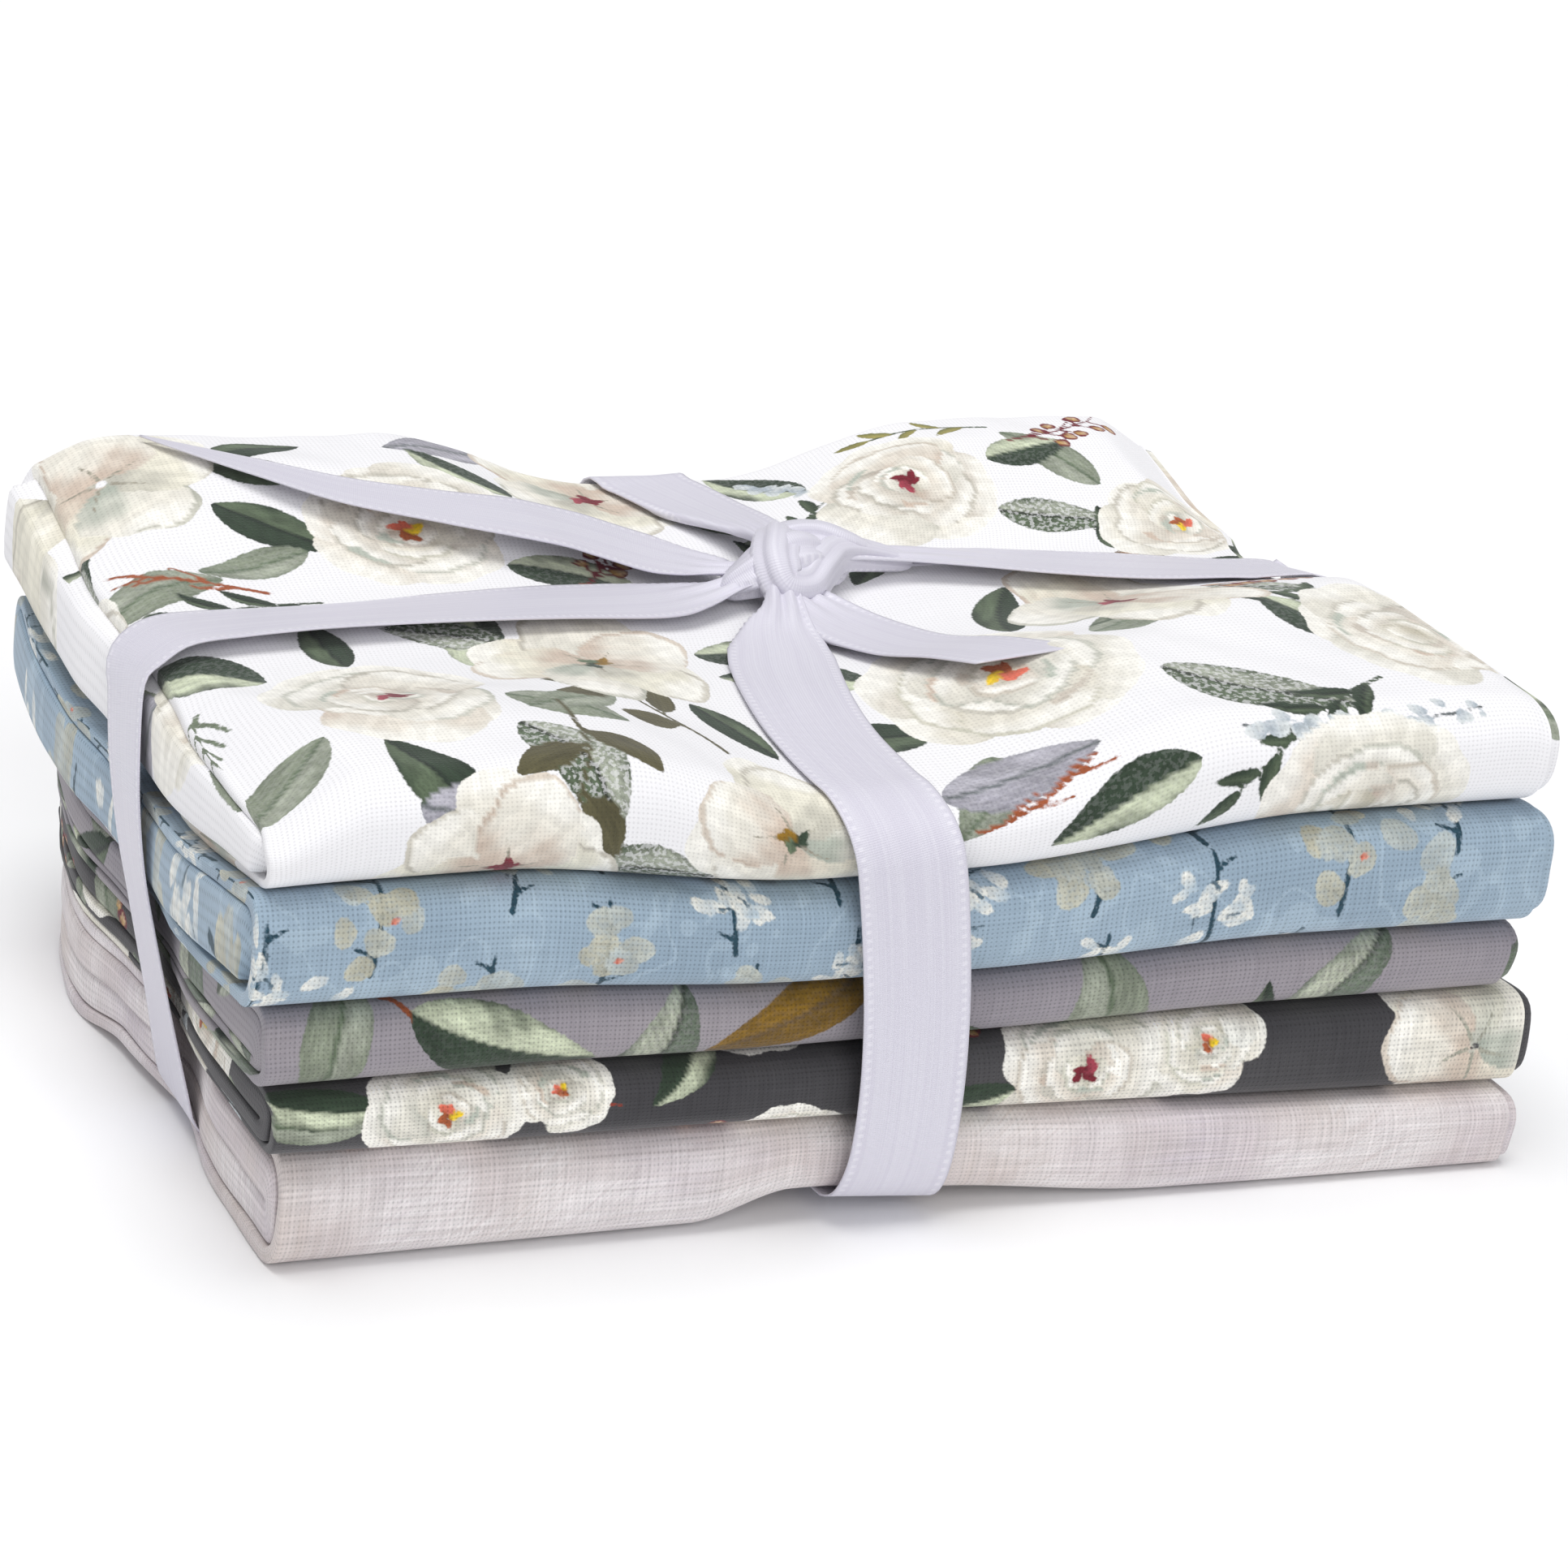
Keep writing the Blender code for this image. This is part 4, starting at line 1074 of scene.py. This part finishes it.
def scattered(art, reach, low, high, keep_out=()):
    """Places at least reach apart over a stretch of cloth, away from the given (x, y, radius)."""
    taken, found = [tuple(row) for row in keep_out], []
    area = (high[0] - low[0]) * (high[1] - low[1])
    for _ in range(int(14 * area / reach ** 2)):
        spot = art.between(low, high)
        if all(math.hypot(spot[0] - x, spot[1] - y) > (reach + radius) / 2 for x, y, radius in taken):
            taken.append((*spot, reach))
            found.append(spot)
    return found


# Listed motifs of the white cloth, on top of the stack and over its front fold, with their turn in
# degrees. Flowers: what, middle, radius, turn and heart. Leaves: style, base, length and turn.
WHITE_FLOWERS = (
    (paint_rose, (-60, -29), 17, 20, "wine"),
    (paint_blossom, (-27, -17), 16.5, 70, "green"),
    (paint_rose, (27, -33), 17, 140, "gold"),
    (paint_blossom, (56, -13), 16, 10, "wine"),
    (paint_rose, (84, -36), 15, 250, None),
    (paint_rose, (82, 22), 15, 200, "gold"),
    (paint_rose, (36, 33), 16.5, 80, "wine"),
    (paint_blossom, (-12, 47), 16, 30, "wine"),
    (paint_rose, (-43, 27), 15.5, 320, "gold"),
    (paint_blossom, (-80, 44), 16, 120, None),
    (paint_blossom, (-14, -62), 15, 200, "green"),
    (paint_rose, (64, -70), 14, 30, None),
)
WHITE_LEAVES = (
    ("two_tone", (-74, -16), 22, 150), ("stamp", (-48, -44), 24, 290),
    ("two_tone", (-44, -16), 20, 75), ("soft", (-74, -42), 20, 215),
    ("stamp", (-38, -8), 18, 160), ("dark", (-17, -31), 15, 300),
    ("two_tone", (12, -26), 22, 165), ("dark", (36, -18), 18, 62),
    ("stamp", (43, -42), 24, 330), ("soft", (18, -48), 18, 240),
    ("rusty", (66, 0), 20, 60), ("two_tone", (68, -24), 20, 300),
    ("dark", (92, 6), 17, 200), ("soft", (70, 32), 20, 130),
    ("two_tone", (22, 42), 20, 130), ("stamp", (50, 26), 20, 350),
    ("dark", (30, 18), 16, 235), ("dark", (-56, 38), 16, 140),
    ("two_tone", (-31, 18), 22, 335), ("grey", (-24, 56), 18, 200),
    ("dark", (-68, 34), 19, 318), ("stamp", (-88, 30), 19, 250),
    ("soft", (0, 38), 18, 320), ("grey", (-66, -60), 26, 340),
    ("soft", (-46, -34), 17, 330), ("dark", (-62, -13), 15, 100),
    ("two_tone", (-10, -12), 20, 350), ("soft", (-30, -34), 16, 200),
    ("dark", (14, -40), 17, 190), ("soft", (42, -28), 18, 20),
    ("stamp", (66, -12), 18, 320), ("dark", (70, 12), 15, 100),
    ("two_tone", (52, 38), 18, 20), ("soft", (20, 28), 16, 200),
    ("dark", (-4, 54), 15, 20), ("two_tone", (-26, 36), 18, 130),
    ("soft", (-58, 22), 16, 190), ("dark", (-66, 46), 15, 20),
    ("grey", (8, -56), 22, 10), ("two_tone", (40, -60), 20, 200),
)

# The rest: what, base, turn, length, and what else it needs.
WHITE_STEMS = (
    (paint_branch, (-18, -45), 118, 20, "silhouette", 0.5),
    (paint_branch, (-40, -38), 268, 26, "silhouette", -0.5),
    (paint_branch, (2, -60), 200, 22, "ochre", 0.3),
    (paint_sprig, (44, -24), 12, 40, 9.5, "dark", -0.5),
    (paint_sprig, (70, -48), 205, 30, 9, "dark", 0.4),
    (paint_sprig, (6, 14), 60, 30, 9, "dark", -0.4),
    (paint_sprig, (56, 50), 170, 20, 8, "olive", 0.2, 2),
    (paint_sprig, (-60, 8), 176, 28, 8.5, "dark", 0.4),
    (paint_twig, (-40, 6), 8, 24),
    (paint_twig, (-66, 12), 150, 20),
    (paint_twig, (12, -62), 20, 18),
    (paint_fern, (-84, -20), 252, 15, mix(MOSS, SAGE, 0.4)),
    (paint_fern, (94, -8), 190, 13, mix(MOSS, OCHRE, 0.4)),
    (paint_berries, (58, 44), 20, 20),
    (paint_berries, (-20, 12), 60, 15),
    (paint_berries, (90, -14), 170, 15),
    (paint_spray, (46, -57), 355, 34, 0.25),
    (paint_spray, (14, 52), 300, 16, 0.3),
)
FLOWERS = (paint_rose, paint_blossom)
WHITE_PITCH = 40.0         # between the flowers that are scattered over the rest of the white cloth
WHITE_LOW, WHITE_HIGH = (-272.0, -186.0), (96.0, 172.0)
PLACED_LOW, PLACED_HIGH = (-92.0, -66.0), (92.0, 56.0)   # where the listed ones are
WHITE_RADIUS = 15.5        # of the scattered flowers
LEAF_START, LEAF_LENGTH, LEAF_HALF = 11, 19.0, 4.6       # of the leaves beside them


def paint_white(art):
    """Large pale flowers with leaves, sprigs, berries and twigs between them."""
    taken = [(x, y, 2 * size) for _, (x, y), size, _, _ in WHITE_FLOWERS]
    others = [spot for spot in scattered(art, WHITE_PITCH, WHITE_LOW, WHITE_HIGH, taken)
              if np.any(spot <= PLACED_LOW) or np.any(spot >= PLACED_HIGH)]
    for spot in others:
        for _ in range(3):
            turn = art.between(0, 2 * math.pi)
            style = ("two_tone", "dark", "stamp", "soft", "grey")[int(art.random.integers(5))]
            start = spot + LEAF_START * heading_of(turn)
            paint_leaf(art, start, turn, LEAF_LENGTH, LEAF_HALF, style, 0.2)
    for style, base, length, turn in WHITE_LEAVES:
        bend = art.between(-0.25, 0.25)
        paint_leaf(art, base, math.radians(turn), length, 0.22 * length, style, bend)
    for paint, base, turn, length, *rest in WHITE_STEMS:
        paint(art, base, math.radians(turn), length, *rest)
    for paint, middle, size, turn, heart in WHITE_FLOWERS:
        paint(art, middle, size, math.radians(turn), heart)
    for k, spot in enumerate(others):
        FLOWERS[k % 2](art, spot, WHITE_RADIUS, art.between(0, 6.3), ("wine", "gold", None)[k % 3])


STEM_PITCH = 16.0          # between the blue cloth's upright stems
CLUSTER_PITCH = 18.0


def paint_blue(art):
    """Upright stems that carry clusters of white or of cream blossom in turn."""
    low, high = art.places.min(0), art.places.max(0)
    for row, x in enumerate(np.arange(low[0] + 6.0, high[0], STEM_PITCH)):
        y, step = low[1] + (row * 0.37 % 1.0) * CLUSTER_PITCH, row
        while y < high[1]:
            lean = art.between(-0.3, 0.3)
            length = CLUSTER_PITCH * art.between(0.7, 0.95)
            base = x + art.between(-2, 2), y
            stem = paint_stem(art, base, math.pi / 2 + lean, length, -lean, 8, 0.4, TEAL)
            for k in (1, 6):
                side = art.random.choice((-1, 1))
                paint_stroke(art, curved(stem[k], math.pi / 2 + side, 3.0, 0.4 * side, 3), 0.34, TEAL)
            paint_cluster(art, stem[4], step % 2 == 0)
            step += 1
            y += CLUSTER_PITCH


def paint_cluster(art, middle, white):
    """Small thick dabs of white with blue between them, or loose ovals of cream with a coral fleck."""
    middle = np.array(middle)
    count, spread, size = (16, (2.5, 3.0), 1.6) if white else (9, (2.9, 3.4), 2.2)
    for k in range(count):
        spot = middle + art.random.normal(0.0, spread)
        turn, long = art.between(0, 6.3), size * art.between(0.75, 1.25)
        if white:
            dark, light = mix(CHALK, SKY, art.between(0.3, 0.9)), CHALK
        else:
            light = mix(SAND, SKY, art.between(0.1, 0.6))
            dark = 0.88 * light
        paint_dab(art, spot, turn, long, (0.5 if white else 0.78) * long, dark, light, mottle=0.35)
    for k in range(3 if white else 0):
        start = middle + 2.4 * heading_of(2.1 * k + middle[0])
        paint_stroke(art, curved(start, 2.1 * k, 1.8, 0.8, 3), 0.3, mix(TEAL, SKY, 0.2), "details")
    if not white and int(middle[0] + middle[1]) % 3 == 0:
        paint_dab(art, middle + (1.6, -2.0), 0.3, 0.75, 0.4, CORAL, mix(CORAL, BLUSH, 0.5), "details")


GREY_PITCH = 21.0          # between the grey cloth's leaves


def paint_grey(art):
    """Large sage leaves on rust stems, some ochre ones among them."""
    low, high = art.places.min(0), art.places.max(0)
    styles = ("sage", "two_tone", "sage", "soft", "ochre", "sage", "soft")
    for k, spot in enumerate(scattered(art, GREY_PITCH, low, high)):
        turn = art.between(0, 2 * math.pi)
        length = art.between(22.0, 31.0)
        style = styles[k % len(styles)]
        base = spot - heading_of(turn) * length / 2
        if k % 3 == 0:
            paint_twig(art, base, turn + 2.6, 16.0)
        paint_leaf(art, base, turn, length, (0.2 if style != "ochre" else 0.15) * length, style,
                   art.between(-0.3, 0.3))
        if k % 4 == 1:
            paint_leaf(art, base, turn + 0.9, 0.6 * length, 0.09 * length, "dark", 0.3)


ROSE_PITCH = 38.0          # between the charcoal cloth's roses
FRONT_FLOWERS = ((-62, -60), (27, -60.5), (82, -61))   # on the charcoal cloth's front fold


def paint_charcoal(art):
    """White roses with buds, berries, sage leaves and frosty sprays on the dark ground."""
    low, high = art.places.min(0), art.places.max(0)
    spots = [np.array(spot) for spot in FRONT_FLOWERS]
    spots += scattered(art, ROSE_PITCH, low, high, [(*spot, ROSE_PITCH) for spot in spots])
    for k, spot in enumerate(spots):
        for step in range(4):
            turn = art.between(0, 2 * math.pi)
            start = spot + 9.5 * heading_of(turn)
            if step == 0:
                paint_berries(art, start, turn, 13.0)
            elif step == 1 and k % 2:
                paint_spray(art, start, turn, 24.0, 0.4, ink(214, 224, 230), ink(120, 136, 140))
            else:
                style = ("sage", "soft", "two_tone")[int(art.random.integers(3))]
                paint_leaf(art, start, turn, art.between(14.0, 20.0), 3.4, style, 0.25)
        paint_twig(art, spot + 8.0 * heading_of(k), float(k), 15.0, mix(BURGUNDY, RUST, 0.4))
    for k, spot in enumerate(spots):
        turn = art.between(0, 6.3)
        size = art.between(12.0, 14.5)
        shade = mix(TAUPE, MIST, 0.4)
        FLOWERS[k % 3 == 2](art, spot, size, turn, ("gold", "wine", None)[k % 3], shade)
        beside = spot + 1.3 * size * heading_of(turn if k >= len(FRONT_FLOWERS) else 0.15)
        paint_rose(art, beside, 0.62 * size, turn + 1.0, "gold", shade)
        bud = spot + 1.7 * size * heading_of(turn + 2.2)
        paint_dab(art, bud, turn, 3.0, 2.2, mix(CREAM, TAUPE, 0.3), CHALK, mottle=0.2)


PAINTERS = {
    "fabric_white_floral": (paint_white, 7),
    "fabric_blue_blossom": (paint_blue, 21),
    "fabric_grey_leaf": (paint_grey, 5),
    "fabric_charcoal_floral": (paint_charcoal, 11),
}


def keep_paint(thing, art):
    """Write the painted layers to the mesh."""
    for layer in LAYERS:
        colour = np.insert(art.colour[layer], 3, 1.0, axis=1)
        for name, kind, field, values in (("outline", "FLOAT", "value", art.distance[layer]),
                                          ("colour", "FLOAT_COLOR", "color", colour),
                                          ("grain", "FLOAT_VECTOR", "vector", art.grain[layer])):
            attribute = thing.data.attributes.new(layer + "_" + name, kind, "POINT")
            attribute.data.foreach_set(field, np.ascontiguousarray(values, dtype=np.float32).ravel())


# --- Materials ---
THREAD = 0.64              # pitch of the woven threads
SATIN_THREAD = 0.36
RIB_PITCH = 0.8 * SATIN_THREAD
CLOTH_RELIEF, SATIN_RELIEF = (0.55, 0.00006), (0.35, 0.00005)   # strength, and depth in metres
RAGGED = 0.55              # how far the outlines of the paint wander from in to out
OUTLINE_SOFT = 0.14        # half the width over which the paint ends
BARE = 0.6                 # how bare of paint a mottled spot is
TICK_PITCH = 1.25          # of the stitches along the ribbon's edges
TICK_INSET = 0.9
CLOTH_ROUGHNESS, CLOTH_SHEEN = 0.88, 0.22
SATIN_ROUGHNESS, SATIN_SHEEN = 0.4, 0.15
CLOTH_SPECULAR, SATIN_SPECULAR = 0.3, 0.5

# Each cloth's ground: the two colours that it wanders between and how fast, how dark the painted shade
# in the weave's holes is and how uneven its threads.
GROUNDS = {
    "fabric_linen": (ink(214, 203, 198), ink(205, 196, 204), 0.03, 0.2, 0.45),
    "fabric_charcoal_floral": (ink(62, 61, 64), ink(76, 75, 77), 0.04, 0.3, 0.45),
    "fabric_grey_leaf": (ink(156, 150, 155), ink(147, 142, 149), 0.04, 0.3, 0.3),
    "fabric_blue_blossom": (ink(143, 163, 180), ink(158, 178, 194), 0.04, 0.3, 0.3),
    "fabric_white_floral": ((0.90, 0.895, 0.91), (0.88, 0.875, 0.895), 0.04, 0.13, 0.06),
}

# The streaks of the brush in each layer of paint: their grain along and across, how dark and how light.
STREAKS = {"foliage": ((0.22, 1.5), 0.85, 1.15), "petals": ((0.75, 0.18), 0.92, 1.05),
           "details": ((0.22, 1.5), 0.9, 1.1)}


class Nodes:
    """A material and short ways to add its nodes."""

    def __init__(self, name, roughness, sheen, specular):
        self.material = bpy.data.materials.new(name)
        self.material.use_nodes = True
        self.tree = self.material.node_tree
        self.shader = self.tree.nodes["Principled BSDF"]
        self.shader.inputs["Roughness"].default_value = roughness
        self.shader.inputs["Sheen Weight"].default_value = sheen
        self.shader.inputs["Sheen Roughness"].default_value = 0.5
        self.shader.inputs["Specular IOR Level"].default_value = specular

    def add(self, kind, inputs, **settings):
        made = self.tree.nodes.new("ShaderNode" + kind)
        for key, value in settings.items():
            setattr(made, key, value)
        for key, value in inputs.items():
            if isinstance(value, bpy.types.NodeSocket):
                self.tree.links.new(value, made.inputs[key])
            else:
                made.inputs[key].default_value = value
        return made

    def calc(self, operation, a, b=0.0, c=0.0):
        return self.add("Math", {0: a, 1: b, 2: c}, operation=operation).outputs[0]

    def blend(self, share, a, b, kind="MIX"):
        a, b = [(*x, 1.0) if isinstance(x, (tuple, np.ndarray)) else x for x in (a, b)]
        made = self.add("Mix", {0: share, 6: a, 7: b}, data_type="RGBA", blend_type=kind)
        return made.outputs[2]

    def shaded(self, colour, shade):
        grey = self.add("CombineXYZ", {0: shade, 1: shade, 2: shade}).outputs[0]
        return self.blend(1.0, colour, grey, "MULTIPLY")

    def flat(self, size):
        """Place on the flat cloth or ribbon, in millimetres."""
        place = self.add("UVMap", {}, uv_map="flat").outputs[0]
        return self.add("VectorMath", {0: place, 1: size}, operation="MULTIPLY").outputs[0]

    def noise(self, place, scale, detail=2.0, turn=0.0):
        """Noise from 0 to 1 whose grains are 1/scale long in X and in Y."""
        if turn:
            place = self.add("VectorRotate", {"Vector": place, "Angle": turn}).outputs[0]
        place = self.add("VectorMath", {0: place, 1: (*scale, 1.0)}, operation="MULTIPLY").outputs[0]
        return self.add("TexNoise", {"Vector": place, "Scale": 1.0, "Detail": detail}).outputs["Fac"]

    def ramp(self, value, low, high, to_low=0.0, to_high=1.0):
        return self.add("MapRange", {0: value, 1: low, 2: high, 3: to_low, 4: to_high},
                        interpolation_type="SMOOTHSTEP").outputs[0]

    def attribute(self, name, output):
        return self.add("Attribute", {}, attribute_name=name).outputs[output]

    def finish(self, colour, height, strength, depth):
        """Give the shader its colour and its relief, depth in metres."""
        relief = self.add("Bump", {"Strength": strength, "Distance": depth, "Height": height})
        self.tree.links.new(colour, self.shader.inputs["Base Color"])
        self.tree.links.new(relief.outputs[0], self.shader.inputs["Normal"])
        return self.material


def weave(nodes, place, ground, depth, slub):
    """Plain weave over a colour: thread bumps, painted shade in the holes between them and uneven threads."""
    wander_x = nodes.noise(place, (0.9, 0.9), 1.0)
    bent = nodes.add("VectorMath", {0: wander_x, 1: (0.16, 0.16, 0.0), 2: place}, operation="MULTIPLY_ADD")
    split = nodes.add("SeparateXYZ", {0: bent.outputs[0]})
    turns = [nodes.calc("MULTIPLY", split.outputs[k], 2 * math.pi / THREAD) for k in (0, 1)]
    waves = nodes.calc("ADD", nodes.calc("COSINE", turns[0]), nodes.calc("COSINE", turns[1]))
    bump = nodes.ramp(waves, 0.5, 1.8, 1.0, 0.0)
    threads = nodes.calc("ADD", nodes.noise(place, (0.09, 2.6)), nodes.noise(place, (2.6, 0.09)))
    shade = nodes.calc("MULTIPLY_ADD", nodes.calc("SUBTRACT", threads, 1.0), slub, 1.0)
    # The weave's holes get painted shade, darker by depth; the uneven threads above are the cloth's own.
    shade = nodes.calc("MULTIPLY_ADD", nodes.calc("SUBTRACT", bump, 0.85), depth, shade)
    height = nodes.calc("MULTIPLY_ADD", threads, 0.9, bump)
    return nodes.finish(nodes.shaded(ground, shade), height, *CLOTH_RELIEF)


def printed(nodes, place, ground):
    """The painted layers over the ground, with ragged outlines, brush streaks and mottling."""
    ragged = nodes.calc("SUBTRACT", nodes.noise(place, (1.6, 1.6), 3.0), 0.5)
    speckle = nodes.ramp(nodes.noise(place, (1.3, 1.3), 5.0), 0.47, 0.57)
    colour = ground
    for layer in LAYERS:
        outline = nodes.attribute(layer + "_outline", "Fac")
        outline = nodes.calc("MULTIPLY_ADD", ragged, RAGGED, outline)
        mask = nodes.ramp(outline, -OUTLINE_SOFT, OUTLINE_SOFT, 1.0, 0.0)
        grain = nodes.attribute(layer + "_grain", "Vector")
        mottle = nodes.add("SeparateXYZ", {0: grain}).outputs[2]
        scale, dark, light = STREAKS[layer]
        tint = nodes.ramp(nodes.noise(grain, scale, 3.0), 0.25, 0.75, dark, light)
        dabs = nodes.ramp(nodes.noise(grain, (0.16, 0.42), 2.0), 0.49, 0.52, 0.94, 1.02)
        tint = nodes.calc("MULTIPLY", tint, dabs)
        paint = nodes.shaded(nodes.attribute(layer + "_colour", "Color"), tint)
        bare = nodes.calc("MULTIPLY", nodes.calc("MULTIPLY", mottle, speckle), BARE)
        mask = nodes.calc("MULTIPLY", mask, nodes.calc("SUBTRACT", 1.0, bare))
        colour = nodes.blend(mask, colour, paint)
    return colour


def linen_look(nodes, place, ground):
    """Pale brushed patches and crossing threads over the ground."""
    brushed = nodes.ramp(nodes.noise(place, (0.035, 0.05), 3.0), 0.42, 0.62)
    strokes = nodes.ramp(nodes.noise(place, (0.1, 2.4), 3.0, math.radians(38)), 0.3, 0.62, 0.3, 0.9)
    ground = nodes.blend(nodes.calc("MULTIPLY", brushed, strokes), ground, ink(238, 234, 234))
    for scale, colour in (((0.05, 1.5), ink(190, 178, 176)), ((1.5, 0.05), ink(230, 223, 223))):
        crossing = nodes.ramp(nodes.noise(place, scale, 3.0), 0.35, 0.65, 0.0, 0.3)
        ground = nodes.blend(crossing, ground, colour)
    return ground


def bubbled(nodes, place, ground):
    """Soft pale spots and fine wisps over the ground."""
    bubbles = nodes.ramp(nodes.noise(place, (0.16, 0.16), 1.0), 0.60, 0.62, 0.0, 0.35)
    ground = nodes.blend(bubbles, ground, SKY)
    wisps = nodes.calc("ABSOLUTE", nodes.calc("SUBTRACT", nodes.noise(place, (0.09, 0.06), 1.5), 0.5))
    return nodes.blend(nodes.ramp(wisps, 0.006, 0.016, 0.32, 0.0), ground, SKY)


def cloth_material(name):
    first, second, wandering, depth, slub = GROUNDS[name]
    nodes = Nodes(name, CLOTH_ROUGHNESS, CLOTH_SHEEN, CLOTH_SPECULAR)
    place = nodes.flat((CLOTH_LENGTH, CLOTH_LENGTH, 1.0))
    share = nodes.ramp(nodes.noise(place, (wandering, wandering), 3.0), 0.3, 0.7)
    ground = nodes.blend(share, first, second)
    if name == "fabric_linen":
        ground = linen_look(nodes, place, ground)
    if name == "fabric_blue_blossom":
        ground = bubbled(nodes, place, ground)
    if name in PAINTERS:
        ground = printed(nodes, place, ground)
    return weave(nodes, place, ground, depth, slub)


def satin_material():
    """Satin with fine ribs along and across, long streaks of painted sheen and a row of stitches at each
    edge.
    """
    nodes = Nodes("satin", SATIN_ROUGHNESS, SATIN_SHEEN, SATIN_SPECULAR)
    place = nodes.flat((UV_ROW, float(UV_ROWS), 1.0))
    split = nodes.add("SeparateXYZ", {0: place})
    share = nodes.calc("FRACT", split.outputs[1])
    nearer = nodes.calc("MINIMUM", share, nodes.calc("SUBTRACT", 1.0, share))
    edge = nodes.calc("MULTIPLY", nearer, RIBBON_WIDTH)
    beside = nodes.calc("ABSOLUTE", nodes.calc("SUBTRACT", edge, TICK_INSET))
    dash = nodes.calc("SINE", nodes.calc("MULTIPLY", split.outputs[0], 2 * math.pi / TICK_PITCH))
    tick = nodes.calc("MULTIPLY", nodes.ramp(beside, 0.2, 0.5, 1.0, 0.0), nodes.ramp(dash, -0.1, 0.5))
    lines = nodes.calc("SINE", nodes.calc("MULTIPLY", share, 2 * math.pi * RIBBON_WIDTH / SATIN_THREAD))
    ribs = nodes.calc("SINE", nodes.calc("MULTIPLY", split.outputs[0], 2 * math.pi / RIB_PITCH))
    spot = nodes.add("CombineXYZ", {0: split.outputs[0], 1: edge}).outputs[0]
    # Long streaks of painted sheen, lighter and darker along the ribbon.
    sheen = nodes.noise(spot, (0.02, 2.2), 2.0)
    colour = nodes.blend(nodes.ramp(sheen, 0.3, 0.7), ink(214, 211, 224), ink(221, 219, 230))
    colour = nodes.blend(nodes.calc("MULTIPLY", tick, 0.5), colour, ink(240, 238, 246))
    height = nodes.calc("MULTIPLY_ADD", tick, 1.6, nodes.calc("MULTIPLY_ADD", lines, 0.25, ribs))
    return nodes.finish(colour, height, *SATIN_RELIEF)


# --- Camera, light and floor ---
CAMERA_AZIMUTH, CAMERA_HEIGHT, CAMERA_ROLL = -27.08, 21.34, 7.077   # degrees
CAMERA_DISTANCE = 587.41
CAMERA_SHIFT = (3.786, 8.3275)   # of the point aimed at, to the right and up
CAMERA_AIM = 30.0
LENS, SENSOR = 96.9, 36.0
FLOOR_SIZE = 6.0
FLOOR_COLOUR, FLOOR_ROUGHNESS = (0.97, 0.97, 0.975, 1.0), 0.8
SKY_COLOUR, SKY_STRENGTH = (0.96, 0.965, 1.0, 1.0), 0.42
# Wide soft suns: where from, power, spread in degrees and colour.
SUNS = {"key": ((-0.12, -0.05, 1.0), 1.8, 40.0, (1.0, 0.995, 0.985)),
        "front": ((-0.1, -1.0, 0.7), 0.7, 30.0, (1.0, 1.0, 1.0))}


def make_camera():
    """The camera that was fitted to the photograph."""
    azimuth, height, roll = (math.radians(a) for a in (CAMERA_AZIMUTH, CAMERA_HEIGHT, CAMERA_ROLL))
    back = Vector((math.sin(azimuth) * math.cos(height), -math.cos(azimuth) * math.cos(height),
                   math.sin(height)))
    level = (-back).cross(Vector((0, 0, 1))).normalized()
    upright = level.cross(-back)
    target = Vector((0, 0, CAMERA_AIM)) + CAMERA_SHIFT[0] * level + CAMERA_SHIFT[1] * upright
    right = math.cos(roll) * level + math.sin(roll) * upright
    up = -math.sin(roll) * level + math.cos(roll) * upright
    data = bpy.data.cameras.new("camera")
    data.lens, data.sensor_width = LENS, SENSOR
    data.clip_start, data.clip_end = 0.05, 20.0
    camera = bpy.data.objects.new("camera", data)
    bpy.context.scene.collection.objects.link(camera)
    turn = Matrix((right, up, back)).transposed().to_4x4()
    camera.matrix_world = Matrix.Translation((target + CAMERA_DISTANCE * back) * MM) @ turn
    bpy.context.scene.camera = camera


def sun_light(name, aim_from, power, spread, colour):
    data = bpy.data.lights.new(name, "SUN")
    data.energy, data.angle, data.color = power, math.radians(spread), colour
    light = bpy.data.objects.new(name, data)
    light.rotation_euler = Vector(aim_from).to_track_quat("Z", "Y").to_euler()
    bpy.context.scene.collection.objects.link(light)


def make_studio():
    """A plain pale floor, an even sky and the suns."""
    bpy.ops.mesh.primitive_plane_add(size=FLOOR_SIZE)
    floor = bpy.context.object
    floor.name = "floor"
    material = bpy.data.materials.new("floor")
    material.use_nodes = True
    shader = material.node_tree.nodes["Principled BSDF"]
    shader.inputs["Base Color"].default_value = FLOOR_COLOUR
    shader.inputs["Roughness"].default_value = FLOOR_ROUGHNESS
    floor.data.materials.append(material)
    world = bpy.data.worlds.new("studio")
    world.use_nodes = True
    world.node_tree.nodes["Background"].inputs["Color"].default_value = SKY_COLOUR
    world.node_tree.nodes["Background"].inputs["Strength"].default_value = SKY_STRENGTH
    bpy.context.scene.world = world
    for name, settings in SUNS.items():
        sun_light(name, *settings)
    bpy.context.scene.view_settings.view_transform = "Standard"


# --- Build ---
for pad in PADS:
    cloth, prints = make_pad(pad)
    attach(cloth, "root")
    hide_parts(pad["name"])
    if pad["name"] in PAINTERS:
        painter, seed = PAINTERS[pad["name"]]
        art = Painting(prints, seed)
        painter(art)
        keep_paint(cloth, art)
    cloth.data.materials.append(cloth_material(pad["name"]))

ribbon = make_ribbon()
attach(ribbon, "root")
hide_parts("ribbon")
ribbon.data.materials.append(satin_material())

make_camera()
make_studio()
